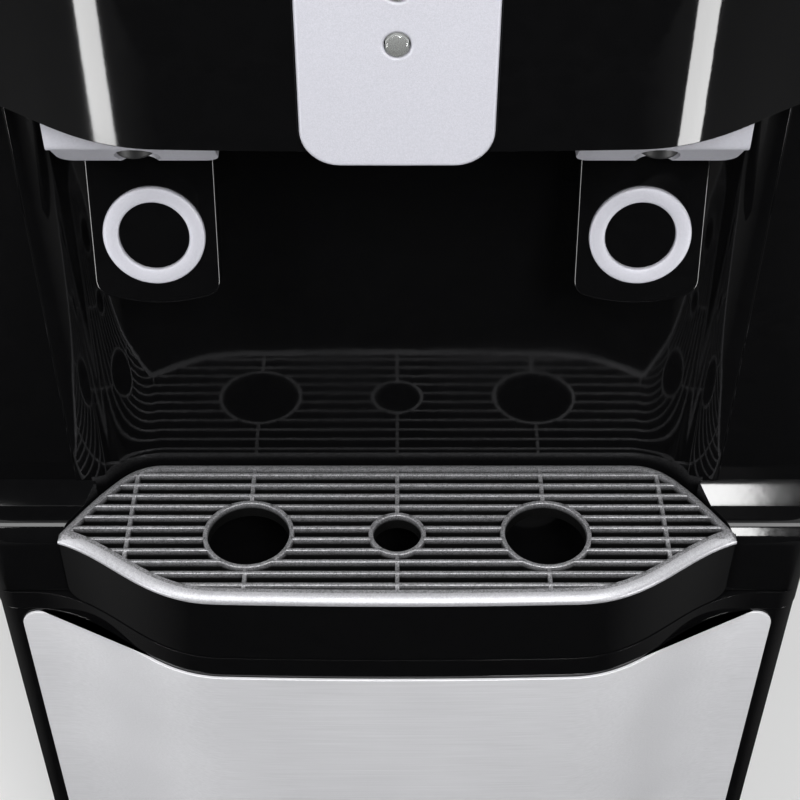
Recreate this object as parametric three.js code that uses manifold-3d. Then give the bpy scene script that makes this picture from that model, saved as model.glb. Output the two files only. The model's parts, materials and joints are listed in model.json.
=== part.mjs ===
// Bottle-fed hot and cold water dispenser, floor standing, with a bow-shaped drip tray.
// Millimetres, +Z up. The front looks along -Y. While the pieces are made, y = 0 is the back
// edge of the drip grille; at the end the whole machine moves so that its box is centred.
import * as THREE from "three";
import { mergeVertices } from "three/addons/utils/BufferGeometryUtils.js";
import Module from "manifold-3d";

const wasm = await Module();
wasm.setup();

// Whole machine
const machine_width = 320;
const cabinet_depth = 225;
const cover_height = 960;
const head_height = 320;
const corner_radius = 9;
const corner_steps = 4;
const corner_lead = 2;
const seam = 0.5;
const seat = 0.3;
const overrun = 6;
const weld_distance = 0.0001;
const shortest_edge = 0.001;
const straight_share = 0.02;
const half_width = machine_width / 2;
const tray_height = cover_height - head_height;

// Plan of the bow front, measured forwards from the back edge of the grille
const bow_reach = 71.1;
const bow_crown = 1;
const side_reach = 37.4;
const column_reach = 16.2;
const frame_back = 4;
const bow_width_shares = [0.416, 0.63, 0.698, 0.91];
const bow_steps = 7;
const crown_steps = 2;

// Drip tray and grille
const column_width = 31.5;
const tray_half_width = half_width - column_width;
const tray_tip_reach = 37.2;
const tray_back_width_shares = [0.72, 0.805, 0.865, 0.918];
const tray_back_reach_shares = [0, 0, 0.28, 0.49];
const tray_curve_steps = 5;
const rim_front = 5.5;
const rim_back = 3.6;
const rim_height = 3;
const rim_round = 1.4;
const bar_count = 11;
const bar_pitch = 5.66;
const first_bar_reach = 6.1;
const bar_width = 1.5;
const bar_height = 7;
const rib_width = 1.6;
const ring_reach = 37.6;
const large_ring_inset = 72.2;
const outer_rib_inset = 26.5;
const large_ring_radius = 17.3;
const small_ring_radius = 10.9;
const ring_wall = 1.8;
const ring_sides = 24;
const tray_wall = 2;
const tray_inset = 0.4;
const tray_floor = 2.5;
const apron_drop = 34;
const apron_corner = 6;
const wall_gap = 1.2;

// Front frame and niche
const skirt_drop = 44;
const cove_radius = 4.6;
const mouth_flare = 4;
const mouth_inset = 7.5;
const shoulder_radius = 4.5;
const ledge_thickness = 3;
const niche_height = 205;
const lip_height = 192;
const liner_wall = 2.5;
const liner_drop = 33;
const niche_draft = 2;
const ceiling_thickness = 3;
const ceiling_back = 12;
const ceiling_tongue = 112;

// Taps and levers
const lever_inset = 49.5;
const lever_width = 41.5;
const lever_thickness = 6.5;
const lever_corner = 4.5;
const lever_sag = 4;
const lever_tilt = 15;
const lever_bevel = 0.9;
const pivot_height = 194;
const pivot_reach = 8;
const lever_length = 90;
const lever_head = 5;
const ring_drop = 65.2;
const badge_outer = 16.65;
const badge_inner = 11.5;
const badge_depth = 1.4;
const badge_proud = 1;
const pin_radius = 2;
const tap_half_width = 24.6;
const tap_ear = 3;
const tap_front_reach = 50;
const tap_back_reach = 20.5;
const tap_low = 164.7;
const tap_low_reach = 34;
const tap_nose = 180.7;
const ear_low = 187;
const ear_back_reach = 1;
const nozzle_reach = 38;
const nozzle_low = 168.7;
const nozzle_radius = 6.5;
const nozzle_bore = 4;
const nozzle_depth = 20;

// Hood, bezel and lamps
const hood_wall = 4;
const bezel_width = 54;
const bezel_rise = 188.2;
const bezel_drop = 34;
const bezel_corner = 11;
const bezel_proud = 1.6;
const bezel_inset = 2;
const lens_radius = 3.2;
const lens_height_shares = [0.386, 0.55, 0.714];
const lens_depth = 3;
const lens_dome_share = 0.3;
const board_width = 84;
const board_height_shares = [0.15, 0.8];
const board_thickness = 1.6;

// Top cover, bottle seat and cold tank
const cover_skirt = 15;
const cover_wall = 3;
const cover_round = 6;
const tank_reach = 95;
const collar_hole = 75.5;
const collar_flange = 88;
const collar_rise = 15;
const collar_mouth = 78;
const collar_wall = 3;
const collar_waist = 52;
const collar_cup_drop = 32;
const collar_throat = 32;
const collar_drop = 55;
const collar_lip = 6;
const spike_radius = 8;
const spike_bore = 5;
const spike_rise = 44;
const spike_hole = 4.5;
const spike_hole_ring = 18;
const tank_radius = 65;
const tank_gap = 4.2;
const tank_wall = 1.6;
const tank_neck = 40;
const tank_neck_rise = 12;
const tank_foot = 16;
const coil_ridges = 4;
const coil_pitch = 19;
const coil_depth = 5;
const foam_outer = 80;
const shelf_rise = 41;
const shelf_thickness = 1.5;
const shelf_lip = 12;
const hose_radius = 4;
const grommet_radius = 7;

// Hot tank
const hot_inset = 98;
const hot_back_gap = 21.8;
const hot_radius = 44;
const hot_height = 145;
const hot_neck = 14;
const hot_neck_rise = 8;
const thermostat_radius = 11;
const thermostat_depth = 7;

// Base, compressor and condenser
const foot_height = 20;
const foot_radius = 17;
const foot_inset = 28;
const foot_front_reach = 6;
const foot_top_share = 0.8;
const pan_thickness = 1.5;
const pan_rim = 34;
const plinth_low = 8;
const plinth_high = 58;
const compressor_radius = 58;
const compressor_height = 150;
const compressor_back_gap = 15.8;
const compressor_front_gap = 10;
const compressor_plate = 74;
const compressor_plate_depth = 48;
const compressor_boss = 7;
const compressor_boss_height = 16;
const compressor_foot = 4;
const compressor_dome_shares = [0.86, 0.5];
const pipe_height_share = 0.7;
const condenser_gap = 8;
const condenser_radius = 2.4;
const condenser_inset = 42;
const condenser_low = 282;
const condenser_pitch = 58;
const condenser_passes = 9;
const condenser_wire = 1.6;
const condenser_wires = 4;
const quarter_circle_pull = 0.5523;
const pipe_radius = 3;

// Side and back sheets
const sheet = 1.2;
const sheet_flange = 13;
const back_low = 222;
const louvre_count = 7;
const louvre_width = 90;
const louvre_height = 5;
const louvre_pitch = 11;
const louvre_drop = 97;

// Storage compartment and door
const liner_sheet = 2;
const storage_side_gap = 0.8;
const storage_flange = 4;
const shelf_height = 330;
const shelf_plate = 4;
const shelf_rail = 5;
const shelf_slot_width = 8;
const shelf_slot_pitch = 28;
const door_wall = 4;
const door_back_reach = 9;
const door_edge = 13;
const door_liner = 3;
const plate_drop = 4;
const plate_side = 10;
const plate_corner = 7;
const plate_thickness = 1.2;
const plate_proud = 0.8;
const gasket_width = 9;
const hinge_inset = 9;
const hinge_reach = 22;
const hinge_radius = 3;
const hinge_depth = 8;
const grip_height = 110;
const grip_top = 40;
const grip_depth = 12;
const grip_radius = 7;

// Rear fittings
const rocker_inset = 52;
const rocker_pitch = 24;
const rocker_drop = 60;
const rocker_width = 13;
const rocker_length = 20;
const rocker_angle = 10;
const rocker_depth = 9;
const rocker_dip = 0.9;
const rocker_frame = 4;
const rocker_frame_depth = 16;
const inlet_inset = 48;
const inlet_height = 238;
const inlet_width = 27;
const inlet_tall = 20;
const inlet_wall = 2.5;
const inlet_depth = 18;
const inlet_flange = 4;
const inlet_pin_width = 4;
const inlet_pin_thick = 2;
const inlet_pin_gap = 7;
const drain_inset = 90;
const drain_radius = 12;
const drain_depth = 14;
const drain_ribs = 8;
const drain_rib = 1.5;

// Places across the machine, counted in from its side or from the tray's
const large_ring_offset = tray_half_width - large_ring_inset;
const outer_rib_offset = tray_half_width - outer_rib_inset;
const lever_offset = tray_half_width - lever_inset;
const storage_half_width = half_width - sheet_flange - storage_side_gap;
const hinge_offset = half_width - hinge_inset;
const rocker_offset = half_width - rocker_inset;
const inlet_offset = half_width - inlet_inset;
const hot_offset = half_width - hot_inset;
const condenser_half_width = half_width - condenser_inset;
const drain_offset = half_width - drain_inset;

// Places along the machine, counted forwards from its back
const hot_reach = cabinet_depth - sheet - hot_back_gap - hot_radius;
const compressor_reach = cabinet_depth - sheet - compressor_back_gap - compressor_radius;
const storage_depth = compressor_reach - compressor_radius - compressor_front_gap;

// Levels counted from the floor
const skirt_low = tray_height - skirt_drop;
const hood_low = tray_height + lip_height;
const hood_high = cover_height - cover_skirt;
const ceiling_low = tray_height + niche_height;
const shelf_low = tray_height + shelf_rise;
const louvre_low = hood_high - louvre_drop;
const rocker_height = hood_high - rocker_drop;
const bezel_low = tray_height + bezel_rise;
const bezel_high = cover_height - bezel_drop;
const door_low = plinth_high + seam;
const door_high = skirt_low - seam;
const pan_high = foot_height + pan_rim;
const storage_low = pan_high + seam;
const storage_high = skirt_low - seam;
const tank_low = shelf_low + shelf_thickness + seat + tank_foot;
const tank_high = cover_height - collar_drop - tank_gap - tank_neck_rise;

// Solids are joined and cut as closed meshes with shared vertices.
function volumeOf(geometry) {
  const place = geometry.getAttribute("position");
  const corner = geometry.getIndex();
  const points = [new THREE.Vector3(), new THREE.Vector3(), new THREE.Vector3()];
  let volume = 0;
  for (let i = 0; i < corner.count; i += 3) {
    points.forEach((point, j) => point.fromBufferAttribute(place, corner.getX(i + j)));
    volume += points[0].dot(points[1].clone().cross(points[2])) / 6;
  }
  return volume;
}

function toSolid(geometry) {
  const bare = geometry.clone();
  bare.deleteAttribute("normal");
  bare.deleteAttribute("uv");
  const merged = mergeVertices(bare, weld_distance);
  const vertices = new Float32Array(merged.getAttribute("position").array);
  const corners = new Uint32Array(merged.getIndex().array);
  if (volumeOf(merged) < 0) {
    for (let i = 0; i < corners.length; i += 3) {
      [corners[i], corners[i + 1]] = [corners[i + 1], corners[i]];
    }
  }
  const whole = [];
  for (let i = 0; i < corners.length; i += 3) {
    const [a, b, c] = [corners[i], corners[i + 1], corners[i + 2]];
    if (a !== b && b !== c && c !== a) whole.push(a, b, c);
  }
  const mesh = new wasm.Mesh({ numProp: 3, vertProperties: vertices, triVerts: new Uint32Array(whole) });
  mesh.merge();
  return new wasm.Manifold(mesh);
}

function toGeometry(solid) {
  const mesh = solid.getMesh();
  const geometry = new THREE.BufferGeometry();
  geometry.setAttribute("position", new THREE.BufferAttribute(new Float32Array(mesh.vertProperties), 3));
  geometry.setIndex(new THREE.BufferAttribute(new Uint32Array(mesh.triVerts), 1));
  return geometry;
}

function join(...geometries) {
  return toGeometry(geometries.map(toSolid).reduce((whole, piece) => whole.add(piece)));
}

function cut(geometry, ...tools) {
  return toGeometry(tools.map(toSolid).reduce((whole, tool) => whole.subtract(tool), toSolid(geometry)));
}

function common(geometry, ...others) {
  return toGeometry(others.map(toSolid).reduce((whole, other) => whole.intersect(other), toSolid(geometry)));
}

// Outlines are lists of Vector2, counter-clockwise where they are closed.
function at(x, y) {
  return new THREE.Vector2(x, y);
}

function mirrored(points) {
  return points.map((point) => at(-point.x, point.y)).reverse();
}

// Moves every edge of an outline outwards by its own distance and meets its neighbours again.
function offsetOutline(points, distanceOf) {
  const count = points.length;
  const edges = points.map((point, i) => {
    const way = points[(i + 1) % count].clone().sub(point).normalize();
    const outward = at(way.y, -way.x);
    const distance = distanceOf(point, points[(i + 1) % count]);
    return { way, start: point.clone().addScaledVector(outward, distance) };
  });
  return cornersOf(edges);
}

// Where each edge meets the one before. An edge that has shrunk past nothing is left out.
function cornersOf(edges) {
  const corners = edges.map((edge, i) => cornerOf(edges.at(i - 1), edge));
  const kept = edges.filter((edge, i) => {
    return corners[(i + 1) % edges.length].clone().sub(corners[i]).dot(edge.way) > 0;
  });
  return kept.length === edges.length ? corners : cornersOf(kept);
}

function cornerOf(before, edge) {
  const turn = before.way.cross(edge.way);
  if (Math.abs(turn) < straight_share) return edge.start.clone().lerp(nearest(before, edge.start), 1 / 2);
  const reach = edge.start.clone().sub(before.start).cross(edge.way) / turn;
  return before.start.clone().addScaledVector(before.way, reach);
}

function nearest(edge, point) {
  const along = point.clone().sub(edge.start).dot(edge.way);
  return edge.start.clone().addScaledVector(edge.way, along);
}

function grown(points, distance) {
  return offsetOutline(points, () => distance);
}

function roundedRectangle(left, right, low, high, radius) {
  const shape = new THREE.Shape();
  shape.moveTo(left + radius, low);
  shape.lineTo(right - radius, low);
  shape.absarc(right - radius, low + radius, radius, -Math.PI / 2, 0);
  shape.lineTo(right, high - radius);
  shape.absarc(right - radius, high - radius, radius, 0, Math.PI / 2);
  shape.lineTo(left + radius, high);
  shape.absarc(left + radius, high - radius, radius, Math.PI / 2, Math.PI);
  shape.lineTo(left, low + radius);
  shape.absarc(left + radius, low + radius, radius, Math.PI, 1.5 * Math.PI);
  return tidyOutline(shape.getPoints(5));
}

function tidyOutline(points) {
  return points.filter((point, i) => point.distanceTo(points[(i + 1) % points.length]) > shortest_edge);
}

function extruded(points, depth) {
  return new THREE.ExtrudeGeometry(new THREE.Shape(points), { depth, bevelEnabled: false });
}

// A plan outline raised between two heights.
function prism(points, low, high) {
  return extruded(points, high - low).translate(0, 0, low);
}

// An outline in y and z, drawn out from left to right.
function sidePrism(points, left, right) {
  const turn = new THREE.Matrix4();
  turn.makeBasis(new THREE.Vector3(0, 1, 0), new THREE.Vector3(0, 0, 1), new THREE.Vector3(1, 0, 0));
  return extruded(points, right - left).applyMatrix4(turn).translate(left, 0, 0);
}

// An outline in x and z, drawn out from front to back.
function frontPrism(points, front, back) {
  return extruded(points, back - front).rotateX(Math.PI / 2).translate(0, back, 0);
}

function slab(left, right, front, back, low, high) {
  const geometry = new THREE.BoxGeometry(right - left, back - front, high - low);
  return geometry.translate((left + right) / 2, (front + back) / 2, (low + high) / 2);
}

// A slab placed by its middle in x and z.
function centredSlab(x, side, front, back, z, tall) {
  return slab(x - side, x + side, front, back, z - tall, z + tall);
}

// The same piece on the left and on the right.
function bothSides(make) {
  return [-1, 1].map(make);
}

// A round bar standing on its foot.
function post(radius, x, y, low, high, sides = 16) {
  const geometry = new THREE.CylinderGeometry(radius, radius, high - low, sides);
  return geometry.rotateX(Math.PI / 2).translate(x, y, (low + high) / 2);
}

// A round bar lying across the machine.
function axle(radius, left, right, y, z, sides = 10) {
  const geometry = new THREE.CylinderGeometry(radius, radius, right - left, sides);
  return geometry.rotateZ(Math.PI / 2).translate((left + right) / 2, y, z);
}

// A round bar pointing backwards.
function stud(radius, x, z, front, back, sides = 16) {
  const geometry = new THREE.CylinderGeometry(radius, radius, back - front, sides);
  return geometry.translate(x, (front + back) / 2, z);
}

// A profile of radius and height turned about an upright axis.
function turned(profile, x, y, sides = 22) {
  const points = profile.map(([radius, height]) => at(radius, height));
  return new THREE.LatheGeometry(points, sides).rotateX(Math.PI / 2).translate(x, y, 0);
}

// A round tube along a smooth route.
function tube(route, radius, steps, sides) {
  const curve = new THREE.CatmullRomCurve3(route.map(([x, y, z]) => new THREE.Vector3(x, y, z)));
  return tubeAlong(curve, radius, steps, sides);
}

function tubeAlong(curve, radius, steps, sides) {
  const section = new THREE.Shape();
  for (let i = 0; i < sides; i += 1) {
    const angle = (2 * Math.PI * i) / sides;
    if (i === 0) section.moveTo(radius * Math.cos(angle), radius * Math.sin(angle));
    else section.lineTo(radius * Math.cos(angle), radius * Math.sin(angle));
  }
  return new THREE.ExtrudeGeometry(section, { steps, extrudePath: curve, bevelEnabled: false });
}

// The bow front in plan, from left to right, between plus and minus a half width.
function bowLine(reach_of_half) {
  const widths = bow_width_shares.map((share) => share * half_width);
  const [centre_end, centre_pull, side_pull, side_start] = widths;
  const slope = (2 * bow_crown) / centre_end;
  const pull_reach = -bow_reach + bow_crown + slope * (centre_pull - centre_end);
  const turn = at(centre_end, -bow_reach + bow_crown);
  const crown = new THREE.QuadraticBezierCurve(at(0, -bow_reach), at(centre_end / 2, -bow_reach), turn);
  const flare = new THREE.CubicBezierCurve(turn, at(centre_pull, pull_reach), at(side_pull, -side_reach),
    at(side_start, -side_reach));
  const half = crown.getPoints(crown_steps).concat(flare.getPoints(bow_steps).slice(1));
  half.push(at(half_width, -side_reach));
  const kept = half.filter((point) => point.x < reach_of_half - seat);
  const next = half.find((point) => point.x >= reach_of_half - seat);
  const last = kept[kept.length - 1];
  const share = (reach_of_half - last.x) / (next.x - last.x);
  kept.push(last.clone().lerp(next, share));
  return mirrored(kept.slice(1)).concat(kept);
}

// The bow front with its rounded outer corners, closed behind.
function frontPlan(back, inset = 0) {
  const round = [];
  for (let i = 0; i <= corner_steps; i += 1) {
    const angle = (Math.PI / 2) * (i / corner_steps - 1);
    const x = half_width - corner_radius + corner_radius * Math.cos(angle);
    round.push(at(x, -side_reach + corner_radius + corner_radius * Math.sin(angle)));
  }
  const line = bowLine(half_width - corner_radius - corner_lead);
  const right = round.concat([at(half_width, back)]);
  const outline = line.concat(right, mirrored(right));
  return offsetOutline(outline, (a, b) => (a.y === back && b.y === back ? 0 : -inset));
}

// The drip tray's own plan: bow in front, pointed at the sides, rounded behind.
function trayPlan() {
  const widths = tray_back_width_shares.map((share) => share * tray_half_width);
  const [wall_end, wall_pull, knee, flank_pull] = widths;
  const reaches = tray_back_reach_shares.map((share) => -share * tray_tip_reach);
  const front = bowLine(tray_half_width);
  const back = new THREE.Path();
  back.moveTo(tray_half_width, -tray_tip_reach);
  back.quadraticCurveTo(flank_pull, reaches[3], knee, reaches[2]);
  back.quadraticCurveTo(wall_pull, reaches[1], wall_end, reaches[0]);
  const flank = back.getPoints(tray_curve_steps);
  return tidyOutline(front.concat(flank, mirrored(flank)));
}

function isTrayFront(a, b) {
  return Math.min(a.y, b.y) < -tray_tip_reach - seat;
}

function trayPlanInside(front_distance, back_distance) {
  return offsetOutline(trayPlan(), (a, b) => (isTrayFront(a, b) ? -front_distance : -back_distance));
}

// The niche leans back as it rises, but its front ends stay in the plane of the columns.
function leanBack(geometry) {
  const place = geometry.getAttribute("position");
  const lean = Math.tan(THREE.MathUtils.degToRad(niche_draft)) / (column_reach + wall_gap);
  for (let i = 0; i < place.count; i += 1) {
    const from_front = place.getY(i) + column_reach;
    const rise = Math.max(place.getZ(i) - tray_height, 0);
    if (from_front > 0) place.setY(i, from_front * (1 + lean * rise) - column_reach);
  }
  return geometry;
}

function liftedPrism(points, low, high) {
  const lower = prism(points, low, tray_height);
  const upper = leanBack(prism(points, tray_height, high));
  return join(lower, upper);
}

// Half of the niche wall, from the middle of the back to where it flares out to a column.
function nicheHalf(distance) {
  const wall = grown(trayPlan(), wall_gap + distance);
  const inner = wall.filter((point) => point.x > 0 && point.y > -column_reach + mouth_flare);
  return inner.sort((a, b) => b.x - a.x);
}

function nichePlan(distance, front) {
  const edge = at(tray_half_width - mouth_inset + distance, -column_reach);
  const right = [at(edge.x, front), edge].concat(nicheHalf(distance));
  return tidyOutline(right.concat(mirrored(right)));
}

// The slots of the grille: what lies between its bars and ribs, trimmed to the rim and round the rings.
function grilleSlots(low, high) {
  const ribs = [-outer_rib_offset, -large_ring_offset, 0, large_ring_offset, outer_rib_offset];
  const sides = [-tray_half_width - rib_width, ...ribs, tray_half_width + rib_width];
  const slots = [];
  for (let row = 0; row <= bar_count; row += 1) {
    const back = row === 0 ? overrun : -first_bar_reach - (row - 1) * bar_pitch - bar_width / 2;
    const front = row === bar_count ? -bow_reach : -first_bar_reach - row * bar_pitch + bar_width / 2;
    for (let i = 0; i + 1 < sides.length; i += 1) {
      slots.push(slab(sides[i] + rib_width / 2, sides[i + 1] - rib_width / 2, front, back, low, high));
    }
  }
  const inside = prism(trayPlanInside(rim_front, rim_back), low - overrun, high + overrun);
  const rings = grilleRings().map(([x, radius]) => {
    return post(radius, x, -ring_reach, low - 2 * overrun, high + 2 * overrun, ring_sides);
  });
  return cut(common(join(...slots), inside), ...rings);
}

function grilleRings() {
  const large = [-1, 1].map((way) => [way * large_ring_offset, large_ring_radius]);
  return [[0, small_ring_radius], ...large];
}

// Silver drip grille: rim, bars, ribs and rings in one moulding.
function makeGrille() {
  const top = tray_height;
  const shape = new THREE.Shape(grown(trayPlan(), -rim_round));
  const rim_options = {
    depth: rim_height - 2 * rim_round,
    bevelThickness: rim_round,
    bevelSize: rim_round,
    bevelSegments: 2,
  };
  const plate = new THREE.ExtrudeGeometry(shape, rim_options);
  plate.translate(0, 0, top - rim_height + rim_round);
  const field_plan = trayPlanInside(rim_front - seat, rim_back - seat);
  const field = prism(field_plan, top - bar_height, top - rim_height / 2);
  const slots = grilleSlots(top - bar_height - overrun, top + overrun);
  const bores = grilleRings().map(([x, radius]) => {
    return post(radius - ring_wall, x, -ring_reach, top - bar_height - overrun, top + overrun, ring_sides);
  });
  return cut(join(plate, field), slots, ...bores);
}

// Drip tray: a basin whose front wall is the bow-shaped apron, with rounded lower corners.
function makeTray() {
  const top = tray_height - rim_height - seat;
  const low = tray_height - apron_drop;
  const block = prism(grown(trayPlan(), -tray_inset), low, top);
  const side = tray_half_width - tray_inset;
  const face = roundedRectangle(-side, side, low, top + 2 * apron_corner, apron_corner);
  const body = common(block, frontPrism(face, -bow_reach - overrun, overrun));
  const hollow = trayPlanInside(tray_inset + tray_wall, tray_inset + tray_wall);
  return cut(body, prism(hollow, low + tray_floor, top + overrun));
}

// Front frame: columns, coves and shoulders at the sides, a bowed skirt under the tray.
function makeFrontFrame() {
  const top = hood_low - seam;
  const profile = new THREE.Shape();
  profile.moveTo(-frame_back, skirt_low);
  profile.lineTo(-frame_back, top);
  profile.lineTo(-column_reach, top);
  profile.lineTo(-column_reach, tray_height + cove_radius);
  profile.absarc(-column_reach - cove_radius, tray_height + cove_radius, cove_radius, 0, -Math.PI / 2, true);
  const shoulder_y = -side_reach + shoulder_radius;
  profile.absarc(shoulder_y, tray_height - shoulder_radius, shoulder_radius, Math.PI / 2, Math.PI, false);
  profile.lineTo(-side_reach, skirt_low);
  const sides = sidePrism(tidyOutline(profile.getPoints(6)), -half_width, half_width);
  const corners = prism(frontPlan(-frame_back), skirt_low, top);
  const skirt = prism(frontPlan(-frame_back), skirt_low, tray_height - apron_drop - seam);
  const body = join(common(sides, corners), skirt);

  const side = tray_half_width + seam;
  const pocket_low = tray_height - apron_drop - seam;
  const pocket_high = tray_height - ledge_thickness;
  const pocket = roundedRectangle(-side, side, pocket_low, pocket_high + 2 * apron_corner, apron_corner);
  const drawer = common(
    frontPrism(pocket, -bow_reach - overrun, overrun),
    slab(-half_width, half_width, -bow_reach - overrun, overrun, pocket_low - overrun, pocket_high),
  );
  const mouth_high = tray_height + cove_radius + overrun;
  const mouth = prism(grown(trayPlan(), seam), pocket_high - overrun / 2, mouth_high);
  const niche = liftedPrism(nichePlan(liner_wall + seat, -bow_reach - overrun), tray_height, top + overrun);
  const open = cut(niche, sideCoves());
  const foot_plan = nichePlan(liner_wall + seat, -column_reach - seat);
  const foot = prism(foot_plan, pocket_high - seat, tray_height + seat);
  const pin_high = skirt_low + hinge_depth;
  const pin = post(hinge_radius + seat, hinge_offset, -hinge_reach, skirt_low - overrun, pin_high);
  return cut(body, drawer, mouth, open, foot, pin);
}

// The space of the coves outside the tray's mouth, which the niche cut must leave alone.
function sideCoves() {
  const high = tray_height + cove_radius;
  const whole = slab(-half_width, half_width, -bow_reach, -column_reach - seat, tray_height - seat, high);
  return cut(whole, prism(grown(trayPlan(), seam), tray_height - overrun, high + overrun));
}

// Niche liner: the glossy back wall with its large rounded corners.
function makeLiner() {
  const low = tray_height - liner_drop;
  const high = ceiling_low - seat;
  const outside = liftedPrism(nichePlan(liner_wall, -column_reach), low, high);
  const inside = liftedPrism(nichePlan(0, -column_reach - overrun), low - overrun, high + overrun);
  return cut(outside, inside);
}

function makeCeiling() {
  const inner = frontPlan(ceiling_back, hood_wall + seat);
  const plate = prism(inner, ceiling_low, ceiling_low + ceiling_thickness);
  const pipes = bothSides((way) => {
    const x = way * lever_offset;
    return post(hose_radius + 1.5 * seat, x, -nozzle_reach, ceiling_low - overrun, ceiling_low + overrun);
  });
  const corner_side = (half_width - ceiling_tongue) / 2;
  const corners = bothSides((way) => {
    const x = way * (ceiling_tongue + corner_side);
    return centredSlab(x, corner_side, -frame_back - seat, ceiling_back + overrun, ceiling_low, overrun);
  });
  return cut(plate, ...pipes, ...corners);
}

// Tap body: a silver nose under the ceiling, with two ears behind that hold the lever's pin.
function makeTapBody(x) {
  const top = ceiling_low - seat;
  const nose = new THREE.Shape();
  nose.moveTo(-tap_back_reach, top);
  nose.lineTo(-tap_front_reach, top);
  nose.lineTo(-tap_front_reach, tray_height + tap_nose);
  nose.quadraticCurveTo(-tap_front_reach, tray_height + tap_nose - tap_ear, -tap_front_reach + tap_ear,
    tray_height + tap_nose - tap_ear);
  nose.lineTo(-tap_low_reach, tray_height + tap_low);
  nose.lineTo(-tap_back_reach, tray_height + tap_low);
  const body = sidePrism(tidyOutline(nose.getPoints(4)), x - tap_half_width, x + tap_half_width);
  const face = roundedRectangle(x - tap_half_width, x + tap_half_width, tray_height + tap_low,
    top + 2 * lever_corner, lever_corner);
  const rounded = common(body, frontPrism(face, -tap_front_reach - overrun, overrun));
  const ears = bothSides((way) => {
    const left = x + way * (tap_half_width - tap_ear / 2) - tap_ear / 2;
    const front = -tap_back_reach - tap_ear;
    return slab(left, left + tap_ear, front, -ear_back_reach, tray_height + ear_low, top);
  });
  const z = tray_height + pivot_height;
  const bore = axle(pin_radius + seat, x - half_width, x + half_width, -pivot_reach, z);
  const outlet_high = tray_height + nozzle_low + nozzle_depth + seat;
  const outlet = post(nozzle_radius + seat, x, -nozzle_reach, tray_height + tap_low - overrun, outlet_high);
  return cut(join(rounded, ...ears), bore, outlet);
}

function makeNozzle(x) {
  const low = tray_height + nozzle_low;
  const high = low + nozzle_depth;
  const profile = [
    [nozzle_bore, low], [nozzle_radius - seat, low], [nozzle_radius, low + 2 * seat],
    [nozzle_radius, high], [nozzle_bore, high], [nozzle_bore, low],
  ];
  return turned(profile, x, -nozzle_reach, 14);
}

// Lever: a plate with a curved lower edge that hangs from its pin. Drawn about the pin.
function makeLever() {
  const side = lever_width / 2 - lever_bevel;
  const low = -lever_length + lever_bevel;
  const outline = new THREE.Shape();
  outline.moveTo(-side, -lever_head);
  outline.lineTo(-side, low + lever_sag + lever_corner);
  outline.quadraticCurveTo(-side, low + lever_sag, -side + lever_corner, low + lever_sag - lever_sag / 4);
  outline.quadraticCurveTo(0, low - lever_sag / 3, side - lever_corner, low + lever_sag - lever_sag / 4);
  outline.quadraticCurveTo(side, low + lever_sag, side, low + lever_sag + lever_corner);
  outline.lineTo(side, -lever_head);
  const options = {
    depth: lever_thickness - 2 * lever_bevel,
    bevelThickness: lever_bevel,
    bevelSize: lever_bevel,
    bevelSegments: 2,
    curveSegments: 5,
  };
  const plate = new THREE.ExtrudeGeometry(outline, options);
  plate.rotateX(Math.PI / 2).translate(0, lever_thickness / 2 - lever_bevel, 0);
  const barrel = axle(lever_head, -lever_width / 2, lever_width / 2, 0, 0, 14);
  const neck = slab(-side, side, -lever_thickness / 2, lever_thickness / 2, -lever_head - lever_sag, 0);
  const bore = axle(pin_radius + seat, -lever_width, lever_width, 0, 0);
  const face = -lever_thickness / 2;
  const groove = cut(
    stud(badge_outer + seat, 0, -ring_drop, face - overrun, face + badge_depth, 28),
    stud(badge_inner - seat, 0, -ring_drop, face - 2 * overrun, face + overrun, 28),
  );
  return cut(join(plate, barrel, neck), bore, groove);
}

// Silver ring set in the lever's face.
function makeBadge() {
  const back = badge_depth - seat;
  const middle = (badge_outer + badge_inner) / 2;
  const profile = [
    [badge_inner, -back], [badge_outer, -back], [badge_outer, badge_proud / 3],
    [badge_outer - badge_proud, badge_proud], [middle, badge_proud + seat],
    [badge_inner + badge_proud, badge_proud], [badge_inner, badge_proud / 3], [badge_inner, -back],
  ];
  const ring = turned(profile, 0, 0, 28).rotateX(Math.PI / 2);
  return ring.translate(0, -lever_thickness / 2, -ring_drop);
}

function makeLeverPin(x) {
  const reach = tap_half_width - seat;
  return axle(pin_radius, x - reach, x + reach, -pivot_reach, tray_height + pivot_height);
}

// A skin that follows the bow front between two offsets.
function frontSkin(inner, outer, face) {
  const low = Math.min(...face.map((point) => point.y));
  const high = Math.max(...face.map((point) => point.y));
  const back = -frame_back;
  const core = prism(frontPlan(back, -inner), low - overrun, high + overrun);
  const skin = cut(prism(frontPlan(back, -outer), low, high), core);
  return common(skin, frontPrism(face, -bow_reach - overrun, -side_reach + corner_radius));
}

function bezelFace(clearance) {
  const side = bezel_width / 2 + clearance;
  const high = bezel_high + clearance;
  return roundedRectangle(-side, side, bezel_low - clearance, high, bezel_corner + clearance);
}

function makeHood() {
  const shell = prism(frontPlan(-frame_back), hood_low, hood_high);
  const room = prism(frontPlan(overrun, hood_wall), hood_low - overrun, hood_high - hood_wall);
  const recess = frontSkin(-bezel_inset - seat, overrun, bezelFace(seat));
  return cut(shell, room, recess);
}

function lensHeight(index) {
  return bezel_low + lens_height_shares[index] * (bezel_high - bezel_low);
}

function makeBezel() {
  const panel = frontSkin(-bezel_inset, bezel_proud, bezelFace(0));
  const bores = [0, 1, 2].map((i) => {
    return stud(lens_radius + seat, 0, lensHeight(i), -bow_reach - overrun, -bow_reach + overrun, 12);
  });
  return cut(panel, ...bores);
}

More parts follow.
